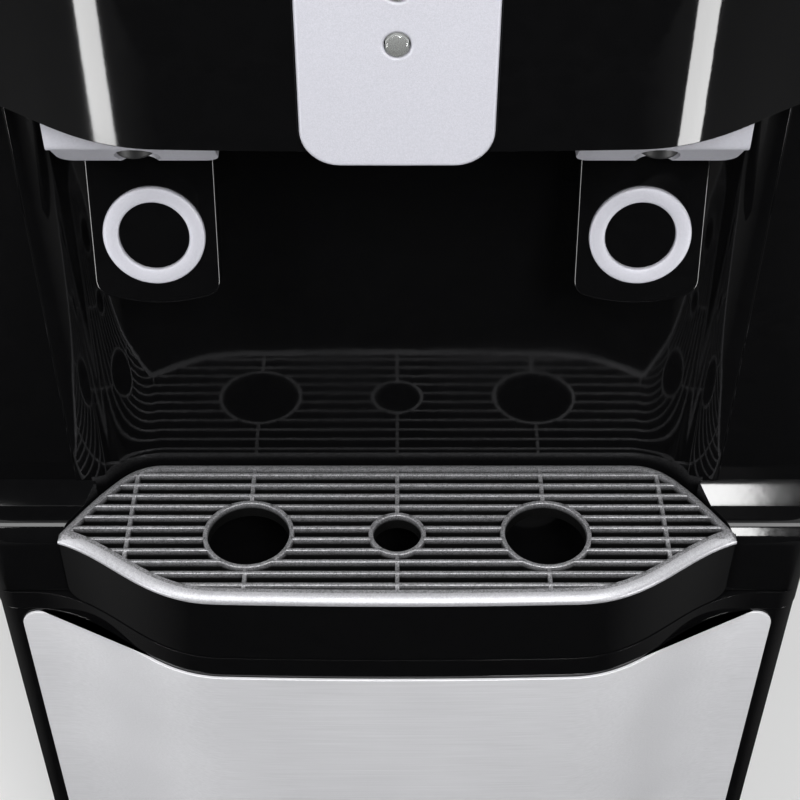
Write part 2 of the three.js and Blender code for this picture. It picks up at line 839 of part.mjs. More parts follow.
function makeLens(index) {
  const front = -bow_reach - bezel_proud;
  const body = stud(lens_radius, 0, lensHeight(index), front, front + lens_depth, 12);
  const dome = new THREE.SphereGeometry(lens_radius, 12, 4);
  dome.scale(1, lens_dome_share, 1).translate(0, front, lensHeight(index));
  return join(body, dome);
}

function makeBoard() {
  const front = -bow_reach + hood_wall + bow_crown + seat;
  const back = front + board_thickness;
  const room_low = ceiling_low + ceiling_thickness;
  const room = hood_high - hood_wall - room_low;
  const [low, high] = board_height_shares.map((share) => room_low + share * room);
  const plate = slab(-board_width / 2, board_width / 2, front, back, low, high);
  const chip_back = back + 3 * board_thickness;
  const chip_low = low + (high - low) / 5;
  const chip_high = (low + high) / 2;
  const chip = slab(-board_width / 6, board_width / 6, back - seat, chip_back, chip_low, chip_high);
  return join(plate, chip);
}

// Top cover: a lid with a rounded edge and a round mouth for the bottle collar.
function makeCover() {
  const plan = frontPlan(cabinet_depth);
  const shape = new THREE.Shape(grown(plan, -cover_round));
  const options = {
    depth: cover_skirt,
    bevelThickness: cover_round,
    bevelSize: cover_round,
    bevelSegments: 2,
  };
  const low = hood_high + seam;
  const lid = new THREE.ExtrudeGeometry(shape, options);
  lid.translate(0, 0, cover_height - cover_skirt - cover_round);
  const box = slab(-machine_width, machine_width, -machine_width, machine_width, low, cover_height);
  const room = prism(grown(plan, -cover_wall), low - overrun, cover_height - cover_wall - cover_round / 2);
  const mouth = post(collar_hole, 0, tank_reach, low - overrun, cover_height + overrun, 32);
  return cut(common(lid, box), room, mouth);
}

// Collar that takes the neck of the bottle, with an open throat over the tank.
function makeCollar() {
  const base = cover_height + seat;
  const top = cover_height + collar_rise;
  const cup = cover_height - collar_cup_drop;
  const low = cover_height - collar_drop;
  const inner = collar_hole - seat - collar_wall;
  const profile = [
    [collar_throat - collar_lip, low], [collar_throat + collar_wall, low],
    [collar_throat + collar_wall, cup - 2 * collar_wall],
    [collar_waist + collar_wall, cup], [inner, base - collar_wall], [inner, base],
    [collar_flange, base], [collar_flange, top - 2 * collar_wall], [collar_flange - collar_wall, top],
    [collar_mouth, top], [inner - 2 * collar_wall, base - collar_wall], [collar_waist, cup + collar_wall],
    [collar_throat, cup - collar_wall], [collar_throat, low + collar_wall],
    [collar_throat - collar_lip, low + collar_wall], [collar_throat - collar_lip, low],
  ];
  return turned(profile, 0, tank_reach, 28);
}

// Spike that opens the bottle's cap and lets water down and air up.
function makeSpike() {
  const low = cover_height - collar_drop + collar_wall + seat;
  const flange = low + collar_wall;
  const top = flange + spike_rise;
  const profile = [
    [spike_bore, low], [collar_throat - seat, low], [collar_throat - seat, flange], [spike_radius, flange],
    [spike_radius, top - spike_radius], [spike_bore + seat, top], [spike_bore, top], [spike_bore, low],
  ];
  const holes = [];
  for (let i = 0; i < 4; i += 1) {
    const angle = (i + 0.5) * (Math.PI / 2);
    const x = spike_hole_ring * Math.cos(angle);
    const y = tank_reach + spike_hole_ring * Math.sin(angle);
    holes.push(post(spike_hole, x, y, low - overrun, flange + seat, 8));
  }
  return cut(turned(profile, 0, tank_reach, 20), ...holes);
}

function makeColdTank() {
  const profile = [
    [0, tank_low], [tank_radius, tank_low], [tank_radius, tank_high], [tank_neck, tank_high],
    [tank_neck, tank_high + tank_neck_rise], [tank_neck - tank_wall, tank_high + tank_neck_rise],
    [tank_neck - tank_wall, tank_high - tank_wall], [tank_radius - tank_wall, tank_high - tank_wall],
    [tank_radius - tank_wall, tank_low + tank_wall], [0, tank_low + tank_wall],
  ];
  return turned(profile, 0, tank_reach);
}

// Evaporator: a ridged sleeve of tube round the lower part of the tank.
function makeCoil() {
  const inner = tank_radius + seat;
  const low = tank_low + coil_pitch;
  const profile = [[inner, low]];
  for (let i = 0; i < coil_ridges; i += 1) {
    profile.push([inner + coil_depth / 3, low + i * coil_pitch]);
    profile.push([inner + coil_depth, low + (i + 0.5) * coil_pitch]);
  }
  const high = low + coil_ridges * coil_pitch;
  profile.push([inner + coil_depth / 3, high], [inner, high], [inner, low]);
  return turned(profile, 0, tank_reach);
}

function makeInsulation() {
  const inner = tank_radius + coil_depth + 2 * seat;
  const low = shelf_low + shelf_thickness + seat;
  const floor = tank_low - seat;
  const profile = [
    [0, low], [foam_outer, low], [foam_outer, tank_high], [inner, tank_high], [inner, floor], [0, floor],
  ];
  return turned(profile, 0, tank_reach);
}

// How far back the niche liner's rear face stands at a height.
function linerBack(z) {
  const lean = Math.tan(THREE.MathUtils.degToRad(niche_draft)) / (column_reach + wall_gap);
  const from_front = column_reach + wall_gap + liner_wall;
  return from_front * (1 + lean * (z - tray_height)) - column_reach;
}

function makeTankShelf() {
  const side = half_width - sheet - seat;
  const front = linerBack(shelf_low + shelf_thickness) + seat;
  const back = cabinet_depth - sheet - seat;
  const inner = side - shelf_thickness;
  const lip_low = shelf_low - shelf_lip;
  const high = shelf_low + shelf_thickness;
  const outline = [
    at(-side, lip_low), at(-inner, lip_low), at(-inner, shelf_low), at(inner, shelf_low),
    at(inner, lip_low), at(side, lip_low), at(side, high), at(-side, high),
  ];
  const hole_x = -half_width + hot_neck + 2 * grommet_radius;
  const hole_y = hot_reach - hot_radius;
  const hole = post(grommet_radius, hole_x, hole_y, shelf_low - overrun, shelf_low + overrun);
  return cut(frontPrism(outline, front, back), hole);
}

function makeHotTank() {
  const high = shelf_low - seat - hot_neck_rise;
  const low = high - hot_height;
  const round = hot_radius / 4;
  const profile = [
    [0, low], [hot_radius - round, low], [hot_radius, low + round], [hot_radius, high - round],
    [hot_radius - round, high], [hot_neck, high], [hot_neck, high + hot_neck_rise],
    [0, high + hot_neck_rise],
  ];
  const outlet_end = -hot_offset - hot_radius - hot_neck / 2;
  const outlet_radius = hose_radius + 2 * seat;
  const outlet = axle(outlet_radius, outlet_end, -hot_offset, hot_reach, high - 2 * round);
  return join(turned(profile, -hot_offset, hot_reach), outlet);
}

function makeThermostat() {
  const z = shelf_low - hot_neck_rise - hot_height / 2;
  const front = hot_reach + hot_radius + seat;
  return stud(thermostat_radius, -hot_offset, z, front, front + thermostat_depth, 20);
}

function makeHotHose() {
  const start_x = -hot_offset - hot_radius - hot_neck / 2 - seat;
  const start_z = shelf_low - seat - hot_neck_rise - hot_radius / 2;
  const gate_x = -half_width + hot_neck + 2 * grommet_radius;
  const gate_y = hot_reach - hot_radius;
  const end = ceiling_low + ceiling_thickness + seat;
  const route = [
    [start_x, hot_reach, start_z], [start_x - seam, hot_reach, start_z],
    [start_x - grommet_radius, hot_reach - hose_radius, start_z],
    [gate_x, gate_y + grommet_radius, shelf_low - grommet_radius], [gate_x, gate_y, shelf_low],
    [gate_x, gate_y - grommet_radius, shelf_low + 3 * grommet_radius],
    [gate_x, tank_reach / 2, (tank_low + tank_high) / 2], [gate_x, 3 * hose_radius, end],
    [-lever_offset - hot_neck, -hot_neck, end + 2 * hot_neck],
    [-lever_offset, -nozzle_reach + seat, end + hot_neck + hose_radius],
    [-lever_offset, -nozzle_reach, end + hose_radius], [-lever_offset, -nozzle_reach, end],
  ];
  return tube(route, hose_radius, 34, 6);
}

function makeColdHose() {
  const end = ceiling_low + ceiling_thickness + seat;
  const over = end + 2 * hot_neck;
  const start = tank_high - 3 * hose_radius - seam;
  const side = (3 * tank_radius) / 4 + hose_radius;
  const front = tank_reach - Math.sqrt(foam_outer ** 2 - (side - hose_radius) ** 2) - 2 * seat;
  const route = [
    [side, front, start], [side, front - hose_radius, start],
    [side, front - 2 * hose_radius - seam, (start + over) / 2],
    [(side + lever_offset) / 2, -nozzle_reach / 2, over],
    [lever_offset, -nozzle_reach + seat, end + hot_neck + hose_radius],
    [lever_offset, -nozzle_reach, end + hose_radius], [lever_offset, -nozzle_reach, end],
  ];
  return tube(route, hose_radius, 18, 6);
}

// Base
function makeFoot(way, y) {
  const profile = [
    [0, 0], [foot_radius - seam, 0], [foot_radius, 2 * seam],
    [foot_radius * foot_top_share, foot_height - seat], [0, foot_height - seat],
  ];
  return turned(profile, way * (half_width - foot_inset), y, 14);
}

function makePan() {
  const back = cabinet_depth - sheet - seat;
  const low = foot_height;
  const outside = prism(frontPlan(back, door_wall + seat), low, pan_high);
  const inner_plan = frontPlan(back - pan_thickness, door_wall + seat + pan_thickness);
  const inside = prism(inner_plan, low + pan_thickness, pan_high + overrun);
  const trimmed = cut(outside, inside);
  const bosses = [];
  const boss_side = compressor_plate - compressor_boss;
  const boss_depth = compressor_plate_depth - compressor_boss;
  for (const x of [-boss_side, boss_side]) {
    for (const y of [compressor_reach - boss_depth, compressor_reach + boss_depth]) {
      bosses.push(post(compressor_boss, x, y, low + seat, low + compressor_boss_height));
    }
  }
  return join(trimmed, ...bosses);
}

function makePlinth() {
  const wall = cut(
    prism(frontPlan(-frame_back), plinth_low, plinth_high),
    prism(frontPlan(overrun, door_wall), plinth_low - overrun, pan_high + seat),
  );
  const bore_low = plinth_high - hinge_depth;
  const bore = post(hinge_radius + seat, hinge_offset, -hinge_reach, bore_low, plinth_high + overrun);
  return cut(wall, bore);
}

function makeCompressor() {
  const low = foot_height + compressor_boss_height + seat;
  const high = low + compressor_height;
  const belt = (low + high) / 2;
  const round = compressor_radius / 3;
  const wall = compressor_radius - seam;
  const weld = compressor_radius + seam;
  const half_weld = compressor_foot / 2;
  const [dome_edge, dome_top] = compressor_dome_shares;
  const profile = [
    [0, low + compressor_foot], [compressor_radius - round, low + compressor_foot], [wall, low + round],
    [wall, belt - half_weld], [weld, belt - half_weld], [weld, belt + half_weld], [wall, belt + half_weld],
    [wall, high - round], [compressor_radius * dome_edge, high - round / 3],
    [compressor_radius * dome_top, high], [0, high],
  ];
  const plan_low = compressor_reach - compressor_plate_depth;
  const plan_high = compressor_reach + compressor_plate_depth;
  const plan = roundedRectangle(-compressor_plate, compressor_plate, plan_low, plan_high, compressor_boss);
  const plate = prism(plan, low, low + compressor_foot + seat);
  return join(turned(profile, 0, compressor_reach), plate);
}

// Condenser: one serpentine tube behind the back sheet, with upright wires welded across it.
function condenserRoute() {
  const path = new THREE.CurvePath();
  const y = cabinet_depth + condenser_gap;
  const bend = condenser_pitch / 2;
  const side = condenser_half_width - bend;
  for (let i = 0; i < condenser_passes; i += 1) {
    const z = condenser_low + i * condenser_pitch;
    const way = i % 2 === 0 ? 1 : -1;
    const from = new THREE.Vector3(-way * side, y, z);
    const to = new THREE.Vector3(way * side, y, z);
    path.add(new THREE.LineCurve3(from, to));
    if (i + 1 < condenser_passes) {
      for (let j = 0; j < 2; j += 1) {
        const turn = (angle) => {
          const x = way * (side + bend * Math.sin(angle));
          return new THREE.Vector3(x, y, z + bend - bend * Math.cos(angle));
        };
        const start_angle = (j * Math.PI) / 2;
        const pull = bend * quarter_circle_pull;
        const start = turn(start_angle);
        const end = turn(start_angle + Math.PI / 2);
        const rise = new THREE.Vector3(0, 0, pull);
        const aside = new THREE.Vector3(way * pull, 0, 0);
        const first = start.clone().add(j === 0 ? aside : rise);
        const second = end.clone().add(j === 0 ? rise.clone().negate() : aside);
        path.add(new THREE.CubicBezierCurve3(start, first, second, end));
      }
    }
  }
  return path;
}

function makeCondenser() {
  const y = cabinet_depth + condenser_gap;
  const pieces = [];
  for (const curve of condenserRoute().curves) {
    const straight = curve.isLineCurve3;
    pieces.push([curve, straight ? 1 : 3]);
  }
  const points = [];
  for (const [curve, steps] of pieces) {
    for (let i = 0; i < steps; i += 1) points.push(curve.getPoint(i / steps));
  }
  const last = pieces[pieces.length - 1][0];
  points.push(last.getPoint(1));
  const serpentine = polyTube(points, condenser_radius, 6);
  const wires = [];
  const low = condenser_low - condenser_pitch / 4;
  const high = condenser_low + (condenser_passes - 1) * condenser_pitch + condenser_pitch / 4;
  const span = condenser_half_width - condenser_pitch / 2 - 3 * condenser_wire;
  for (let i = 0; i < condenser_wires; i += 1) {
    const x = -span + (2 * span * i) / (condenser_wires - 1);
    const face = y + condenser_radius * Math.cos(Math.PI / 6) - condenser_wire / 4;
    wires.push(slab(x - condenser_wire / 2, x + condenser_wire / 2, face, face + condenser_wire, low, high));
  }
  return join(serpentine, ...wires);
}

// A tube through a list of points in a plane of constant y, mitred at each point.
function polyTube(points, radius, sides) {
  const vertices = [];
  const corners = [];
  points.forEach((point, i) => {
    const before = points[Math.max(i - 1, 0)];
    const after = points[Math.min(i + 1, points.length - 1)];
    const way = after.clone().sub(before).normalize();
    const aside = new THREE.Vector3(-way.z, 0, way.x);
    for (let j = 0; j < sides; j += 1) {
      const angle = (2 * Math.PI * j) / sides;
      const place = point.clone().addScaledVector(aside, radius * Math.cos(angle));
      place.y += radius * Math.sin(angle);
      vertices.push(place.x, place.y, place.z);
    }
  });
  const rings = points.length;
  for (let i = 0; i + 1 < rings; i += 1) {
    for (let j = 0; j < sides; j += 1) {
      const a = i * sides + j;
      const b = i * sides + ((j + 1) % sides);
      corners.push(a, b, b + sides, a, b + sides, a + sides);
    }
  }
  for (let j = 1; j + 1 < sides; j += 1) {
    const end = (rings - 1) * sides;
    corners.push(0, j + 1, j, end, end + j, end + j + 1);
  }
  const geometry = new THREE.BufferGeometry();
  geometry.setAttribute("position", new THREE.Float32BufferAttribute(vertices, 3));
  geometry.setIndex(corners);
  return geometry;
}

// Copper pipe from the compressor out to the foot of the condenser.
function makePipe() {
  const side = compressor_radius + pipe_radius;
  const z = foot_height + compressor_height * pipe_height_share;
  const out = cabinet_depth + condenser_gap;
  const end = -condenser_half_width + condenser_pitch / 2 - seat;
  const route = [
    [-side - seat, compressor_reach, z], [-side - seam, compressor_reach, z],
    [-side - 4 * pipe_radius, compressor_reach, z],
    [-side - 12 * pipe_radius, compressor_reach + 6 * pipe_radius, z + 2 * pipe_radius],
    [-condenser_half_width, cabinet_depth - 6 * pipe_radius, z + 8 * pipe_radius],
    [-condenser_half_width, out, back_low - 4 * pipe_radius],
    [-condenser_half_width, out, condenser_low - 8 * pipe_radius],
    [end - 5 * pipe_radius, out, condenser_low - pipe_radius],
    [end - 2 * pipe_radius, out, condenser_low], [end - seat, out, condenser_low], [end, out, condenser_low],
  ];
  return tube(route, pipe_radius, 30, 6);
}

// Sheets
function makeSidePanel(way) {
  const outer = half_width;
  const inner = half_width - sheet;
  const lip = half_width - sheet_flange;
  const front = -frame_back + seam;
  const back = cabinet_depth;
  const outline = [
    at(lip, front), at(outer, front), at(outer, back), at(lip, back), at(lip, back - sheet),
    at(inner, back - sheet), at(inner, front + sheet), at(lip, front + sheet),
  ];
  const points = way > 0 ? outline : mirrored(outline);
  return prism(points, pan_high + seam, hood_high);
}

function makeBackPanel() {
  const side = half_width - sheet_flange - seat;
  const front = cabinet_depth - sheet;
  const plate = slab(-side, side, front, cabinet_depth, back_low, hood_high);
  const from = front - overrun;
  const to = cabinet_depth + overrun;
  const cuts = [];
  for (let i = 0; i < louvre_count; i += 1) {
    const z = louvre_low + i * louvre_pitch;
    cuts.push(slab(-louvre_width / 2, louvre_width / 2, from, to, z, z + louvre_height));
  }
  const window_side = rockerHalfSpan() + rocker_frame / 2;
  const window_tall = rocker_length / 2 + rocker_frame / 2;
  cuts.push(centredSlab(rocker_offset, window_side, from, to, rocker_height, window_tall));
  const inlet_side = inlet_width / 2 + seat;
  cuts.push(centredSlab(inlet_offset, inlet_side, from, to, inlet_height, inlet_tall / 2 + seat));
  const standoffs = [];
  const reach = condenser_gap - condenser_radius - seat;
  for (const x of [-condenser_half_width / 2, condenser_half_width / 2]) {
    for (const pass of [1, condenser_passes - 2]) {
      const z = condenser_low + pass * condenser_pitch;
      standoffs.push(stud(2 * condenser_radius, x, z, front, cabinet_depth + reach, 8));
    }
  }
  return cut(join(plate, ...standoffs), ...cuts);
}

// Storage compartment behind the door
function makeStorageLiner() {
  const side = storage_half_width;
  const front = -frame_back + seam;
  const box = slab(-side, side, front, storage_depth, storage_low + liner_sheet, storage_high - liner_sheet);
  const room = slab(-side + liner_sheet, side - liner_sheet, front - overrun, storage_depth - liner_sheet,
    storage_low + 2 * liner_sheet, storage_high - 2 * liner_sheet);
  const rail_side = (shelf_rail + liner_sheet / 2) / 2;
  const rail_back = storage_depth - liner_sheet / 2;
  const rails = bothSides((way) => {
    const x = way * (side - liner_sheet / 2 - rail_side);
    const z = shelf_height - shelf_rail / 2;
    return centredSlab(x, rail_side, storage_flange, rail_back, z, shelf_rail / 2);
  });
  return join(cut(box, room), ...rails);
}

function makeShelf() {
  const side = storage_half_width - liner_sheet - 2 * seat;
  const back = storage_depth - liner_sheet - 2 * seat;
  const low = shelf_height + seat;
  const plate = slab(-side, side, storage_flange, back, low, low + shelf_plate);
  const slots = [];
  const slot_count = 2 * Math.floor((side - shelf_slot_width) / shelf_slot_pitch) + 1;
  for (let i = 0; i < slot_count; i += 1) {
    const x = (i - (slot_count - 1) / 2) * shelf_slot_pitch;
    slots.push(slab(x - shelf_slot_width / 2, x + shelf_slot_width / 2, storage_flange + door_edge,
      back - door_edge, low - overrun, low + shelf_plate + overrun));
  }
  return cut(plate, ...slots);
}

// Door
function plateFace(clearance) {
  const side = half_width - plate_side + clearance;
  const low = door_low + plate_drop - clearance;
  return roundedRectangle(-side, side, low, door_high - plate_drop + clearance, plate_corner + clearance);
}

function makeDoorShell() {
  const back = -door_back_reach;
  const shell = prism(frontPlan(back, seat), door_low, door_high);
  const side = half_width - door_edge;
  const low = door_low + door_edge;
  const high = door_high - door_edge;
  const room = common(
    prism(frontPlan(back + overrun, door_wall + seat), low, high),
    slab(-side, side, -bow_reach, back + overrun, low, high),
  );
  const recess = frontSkin(-plate_thickness + plate_proud - seat, overrun, plateFace(seat));
  const pins = [
    post(hinge_radius + seat, hinge_offset, -hinge_reach, door_high - hinge_depth, door_high + overrun),
    post(hinge_radius + seat, hinge_offset, -hinge_reach, door_low - overrun, door_low + hinge_depth),
  ];
  const grip_high = door_high - grip_top;
  const grip_y = -door_back_reach - grip_radius / 2;
  const grip = slab(-half_width - overrun, -half_width + grip_depth, grip_y - grip_radius,
    grip_y + 2 * grip_radius, grip_high - grip_height, grip_high);
  return cut(shell, room, recess, ...pins, grip);
}

function makeDoorPlate() {
  return frontSkin(-plate_thickness + plate_proud, plate_proud, plateFace(0));
}

function makeDoorInner() {
  const side = half_width - door_edge - seat;
  const low = door_low + door_edge + seat;
  const high = door_high - door_edge - seat;
  const back = -door_back_reach;
  const panel = slab(-side, side, back - door_liner, back, low, high);
  const dish_side = side - door_edge;
  const dish_front = back - door_liner / 2;
  const dish = slab(-dish_side, dish_side, dish_front, back + overrun, low + door_edge, high - door_edge);
  return cut(panel, dish);
}

function makeGasket() {
  const front = -door_back_reach + seat;
  const back = -frame_back - seat;
  const side = storage_half_width - liner_sheet / 2;
  const low = door_low + liner_sheet;
  const outer = slab(-side, side, front, back, low, storage_high - liner_sheet);
  const inner = slab(-side + gasket_width, side - gasket_width, front - overrun, back + overrun,
    low + gasket_width, storage_high - liner_sheet - gasket_width);
  return cut(outer, inner);
}

function makeHingePin(middle) {
  return post(hinge_radius, hinge_offset, -hinge_reach, middle - hinge_depth + 2 * seat,
    middle + hinge_depth - 2 * seat, 16);
}

// Rear fittings
function rockerHalfSpan() {
  return rocker_pitch / 2 + rocker_width / 2 + seat;
}

function rockerPlace(way) {
  return rocker_offset + (way * rocker_pitch) / 2;
}

function makeSwitchFrame() {
  const side = rockerHalfSpan() + rocker_frame / 2 - seat;
  const tall = rocker_length / 2 + rocker_frame / 2 - seat;
  const back = cabinet_depth + rocker_frame / 2;
  const front = back - rocker_frame_depth;
  const body = centredSlab(rocker_offset, side, front, back, rocker_height, tall);
  const lip_side = side + rocker_frame;
  const lip_tall = tall + rocker_frame;
  const flange = centredSlab(rocker_offset, lip_side, cabinet_depth + seat, back, rocker_height, lip_tall);
  const wells = bothSides((way) => {
    const well_side = rocker_width / 2 + seat;
    const well_tall = rocker_length / 2 + seat;
    const well_front = front + rocker_frame / 2;
    return centredSlab(rockerPlace(way), well_side, well_front, back + overrun, rocker_height, well_tall);
  });
  return cut(join(body, flange), ...wells);
}

// Rocker key, hollowed towards the middle of its face and tipped to its off side.
function makeRocker(way) {
  const x = rockerPlace(way);
  const half = rocker_length / 2 - 4 * seat;
  const face = rocker_frame - seat;
  const outline = [
    at(-rocker_depth, -half / 2), at(face, -half), at(face - rocker_dip, 0), at(face, half),
    at(-rocker_depth, half / 2),
  ];
  const key = sidePrism(outline, x - rocker_width / 2, x + rocker_width / 2);
  key.rotateX(-THREE.MathUtils.degToRad(rocker_angle));
  return key.translate(0, cabinet_depth - rocker_frame / 2, rocker_height);
}

function makeInlet() {
  const side = inlet_width / 2;
  const tall = inlet_tall / 2;
  const front = cabinet_depth - inlet_depth;
  const back = cabinet_depth + inlet_wall;
  const body = centredSlab(inlet_offset, side, front, back, inlet_height, tall);
  const lip_side = side + inlet_flange;
  const lip_tall = tall + inlet_flange / 2;
  const flange = centredSlab(inlet_offset, lip_side, cabinet_depth + seat, back, inlet_height, lip_tall);
  const room_side = side - inlet_wall;
  const room_front = front + inlet_wall;
  const room_tall = tall - inlet_wall;
  const room = centredSlab(inlet_offset, room_side, room_front, back + overrun, inlet_height, room_tall);
  const pins = [-1, 0, 1].map((i) => {
    const x = inlet_offset + i * inlet_pin_gap;
    const z = inlet_height + (i === 0 ? inlet_pin_thick : -inlet_pin_thick);
    const pin_back = back - inlet_depth / 3;
    return centredSlab(x, inlet_pin_thick / 2, front + inlet_wall / 2, pin_back, z, inlet_pin_width / 2);
  });
  return join(cut(join(body, flange), room), ...pins);
}

function makeDrainCap() {
  const outline = [];
  for (let i = 0; i < 3 * drain_ribs; i += 1) {
    const angle = (2 * Math.PI * i) / (3 * drain_ribs);
    const radius = i % 3 === 0 ? drain_radius : drain_radius - drain_rib;
    outline.push(at(radius * Math.cos(angle) - drain_offset, radius * Math.sin(angle) + inlet_height));
  }
  return frontPrism(outline, cabinet_depth + seat, cabinet_depth + seat + drain_depth);
}

// Finishes
const gloss_black = { color: 0x0b0b0d, roughness: 0.12, metalness: 0 };
const satin_black = { color: 0x141416, roughness: 0.5, metalness: 0 };
const silver_paint = { color: 0xb4b6bc, roughness: 0.35, metalness: 0.8 };
const grey_sparkle = { color: 0x77787c, roughness: 0.45, metalness: 0.7 };
const brushed_steel = { color: 0xc4c4c8, roughness: 0.3, metalness: 1 };
const sheet_steel = { color: 0x9a9ca0, roughness: 0.4, metalness: 1 };
const white_plastic = { color: 0xdcdcd8, roughness: 0.5, metalness: 0 };
const grey_rubber = { color: 0x4a4a4a, roughness: 0.85, metalness: 0 };
const foam = { color: 0xd8d4c4, roughness: 0.9, metalness: 0 };
const copper = { color: 0xb87345, roughness: 0.35, metalness: 1 };
const green_board = { color: 0x1d5a34, roughness: 0.6, metalness: 0 };

const machine = new THREE.Group();

function place(parent, name, geometry, finish) {
  const mesh = new THREE.Mesh(geometry, new THREE.MeshStandardMaterial(finish));
  mesh.name = name;
  parent.add(mesh);
  return mesh;
}

// Outer casing
place(machine, "front_frame", makeFrontFrame(), gloss_black);
place(machine, "niche_liner", makeLiner(), gloss_black);
place(machine, "niche_ceiling", makeCeiling(), satin_black);
place(machine, "hood", makeHood(), gloss_black);
place(machine, "control_bezel", makeBezel(), silver_paint);
place(machine, "top_cover", makeCover(), gloss_black);
place(machine, "plinth", makePlinth(), gloss_black);
place(machine, "side_panel_left", makeSidePanel(-1), satin_black);
place(machine, "side_panel_right", makeSidePanel(1), satin_black);
place(machine, "back_panel", makeBackPanel(), sheet_steel);
["power", "heating", "cooling"].forEach((name, i) => {
  place(machine, `indicator_lens_${name}`, makeLens(i), white_plastic);
});
place(machine, "control_board", makeBoard(), green_board);

// Drip tray
place(machine, "drip_tray", makeTray(), gloss_black);
place(machine, "drip_grille", makeGrille(), grey_sparkle);

// Taps
for (const [side, way] of [["left", -1], ["right", 1]]) {
  const x = way * lever_offset;
  place(machine, `tap_body_${side}`, makeTapBody(x), silver_paint);
  place(machine, `tap_nozzle_${side}`, makeNozzle(x), satin_black);
  place(machine, `lever_pin_${side}`, makeLeverPin(x), sheet_steel);
  const swing = new THREE.Group();
  swing.position.set(x, -pivot_reach, tray_height + pivot_height);
  swing.rotation.x = -THREE.MathUtils.degToRad(lever_tilt);
  place(swing, `lever_${side}`, makeLever(), gloss_black);
  place(swing, `lever_ring_${side}`, makeBadge(), silver_paint);
  machine.add(swing);
}

// Bottle seat and tanks
place(machine, "bottle_collar", makeCollar(), satin_black);
place(machine, "bottle_spike", makeSpike(), white_plastic);
place(machine, "cold_tank", makeColdTank(), sheet_steel);
place(machine, "evaporator_coil", makeCoil(), copper);
place(machine, "tank_insulation", makeInsulation(), foam);
place(machine, "tank_shelf", makeTankShelf(), sheet_steel);
place(machine, "hot_tank", makeHotTank(), sheet_steel);
place(machine, "hot_thermostat", makeThermostat(), satin_black);
place(machine, "hot_hose", makeHotHose(), white_plastic);
place(machine, "cold_hose", makeColdHose(), white_plastic);

// Base and cooling
for (const [side, way] of [["left", -1], ["right", 1]]) {
  place(machine, `foot_front_${side}`, makeFoot(way, foot_front_reach), grey_rubber);
  place(machine, `foot_rear_${side}`, makeFoot(way, cabinet_depth - foot_inset), grey_rubber);
}
place(machine, "base_pan", makePan(), sheet_steel);
place(machine, "compressor", makeCompressor(), satin_black);
place(machine, "condenser_grid", makeCondenser(), satin_black);
place(machine, "discharge_pipe", makePipe(), copper);

// Storage and door
place(machine, "storage_liner", makeStorageLiner(), white_plastic);
place(machine, "storage_shelf", makeShelf(), white_plastic);
place(machine, "door_shell", makeDoorShell(), gloss_black);
place(machine, "door_plate", makeDoorPlate(), brushed_steel);
place(machine, "door_inner", makeDoorInner(), white_plastic);
place(machine, "door_gasket", makeGasket(), grey_rubber);
place(machine, "hinge_pin_top", makeHingePin(skirt_low - seam / 2), sheet_steel);
place(machine, "hinge_pin_bottom", makeHingePin(plinth_high + seam / 2), sheet_steel);

// Rear fittings
place(machine, "switch_frame", makeSwitchFrame(), satin_black);
place(machine, "heating_switch", makeRocker(-1), satin_black);
place(machine, "cooling_switch", makeRocker(1), satin_black);
place(machine, "power_inlet", makeInlet(), satin_black);
place(machine, "drain_cap", makeDrainCap(), white_plastic);

const front_edge = -bow_reach - bezel_proud - lens_radius * lens_dome_share;
const back_edge = cabinet_depth + drain_depth + seat;
machine.position.y = -(front_edge + back_edge) / 2;

const group = new THREE.Group();
group.add(machine);

export default group;
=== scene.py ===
# %% [markdown]
# # A gloss-black water dispenser, close to its drip tray
# The real machine is a floor-standing cooler that holds a bottle on its head. The camera
# stands in front and looks down at the dispensing bay: a bow-shaped silver drip grille,
# two push levers with silver rings, and the glossy bay that mirrors the grille.
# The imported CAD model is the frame. Every piece made here is placed from its boxes, so
# that nothing has to be fitted afterwards. Lengths are metres.

# %% Load the frame
import json
import math

import bmesh
import bpy
from mathutils import Matrix, Vector


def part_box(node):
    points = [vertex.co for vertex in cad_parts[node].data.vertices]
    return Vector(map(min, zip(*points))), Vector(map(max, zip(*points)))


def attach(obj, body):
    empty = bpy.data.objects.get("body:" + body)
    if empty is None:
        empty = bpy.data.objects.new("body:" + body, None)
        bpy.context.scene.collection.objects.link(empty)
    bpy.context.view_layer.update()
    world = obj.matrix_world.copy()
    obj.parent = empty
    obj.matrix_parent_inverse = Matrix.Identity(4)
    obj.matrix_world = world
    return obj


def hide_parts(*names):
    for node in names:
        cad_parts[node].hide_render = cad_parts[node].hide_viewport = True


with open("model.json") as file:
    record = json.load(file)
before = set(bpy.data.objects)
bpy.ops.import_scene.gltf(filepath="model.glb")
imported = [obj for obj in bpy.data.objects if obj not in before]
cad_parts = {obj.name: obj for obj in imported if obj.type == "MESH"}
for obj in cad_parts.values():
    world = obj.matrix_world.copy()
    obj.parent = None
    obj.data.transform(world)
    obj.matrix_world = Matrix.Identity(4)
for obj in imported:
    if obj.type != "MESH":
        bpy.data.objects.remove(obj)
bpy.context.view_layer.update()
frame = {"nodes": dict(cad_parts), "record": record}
nodes = frame["nodes"]
record = frame["record"]
body_of = {node: body for body, members in record["behaviour"]["bodies"].items() for node in members}
slot_of = {entry["node"]: entry["material_slot"] for entry in record["subparts"]}
scene = bpy.context.scene
millimetre = 0.001

# %% [markdown]
# The driving sizes come from the frame: the width and the levels of the casing, the
# plane of the grille, and where its back edge stands. A plan is drawn with y = 0 on that
# back edge, and moved to its place when it becomes a mesh, so each outline reads like
# the drawing of one piece.

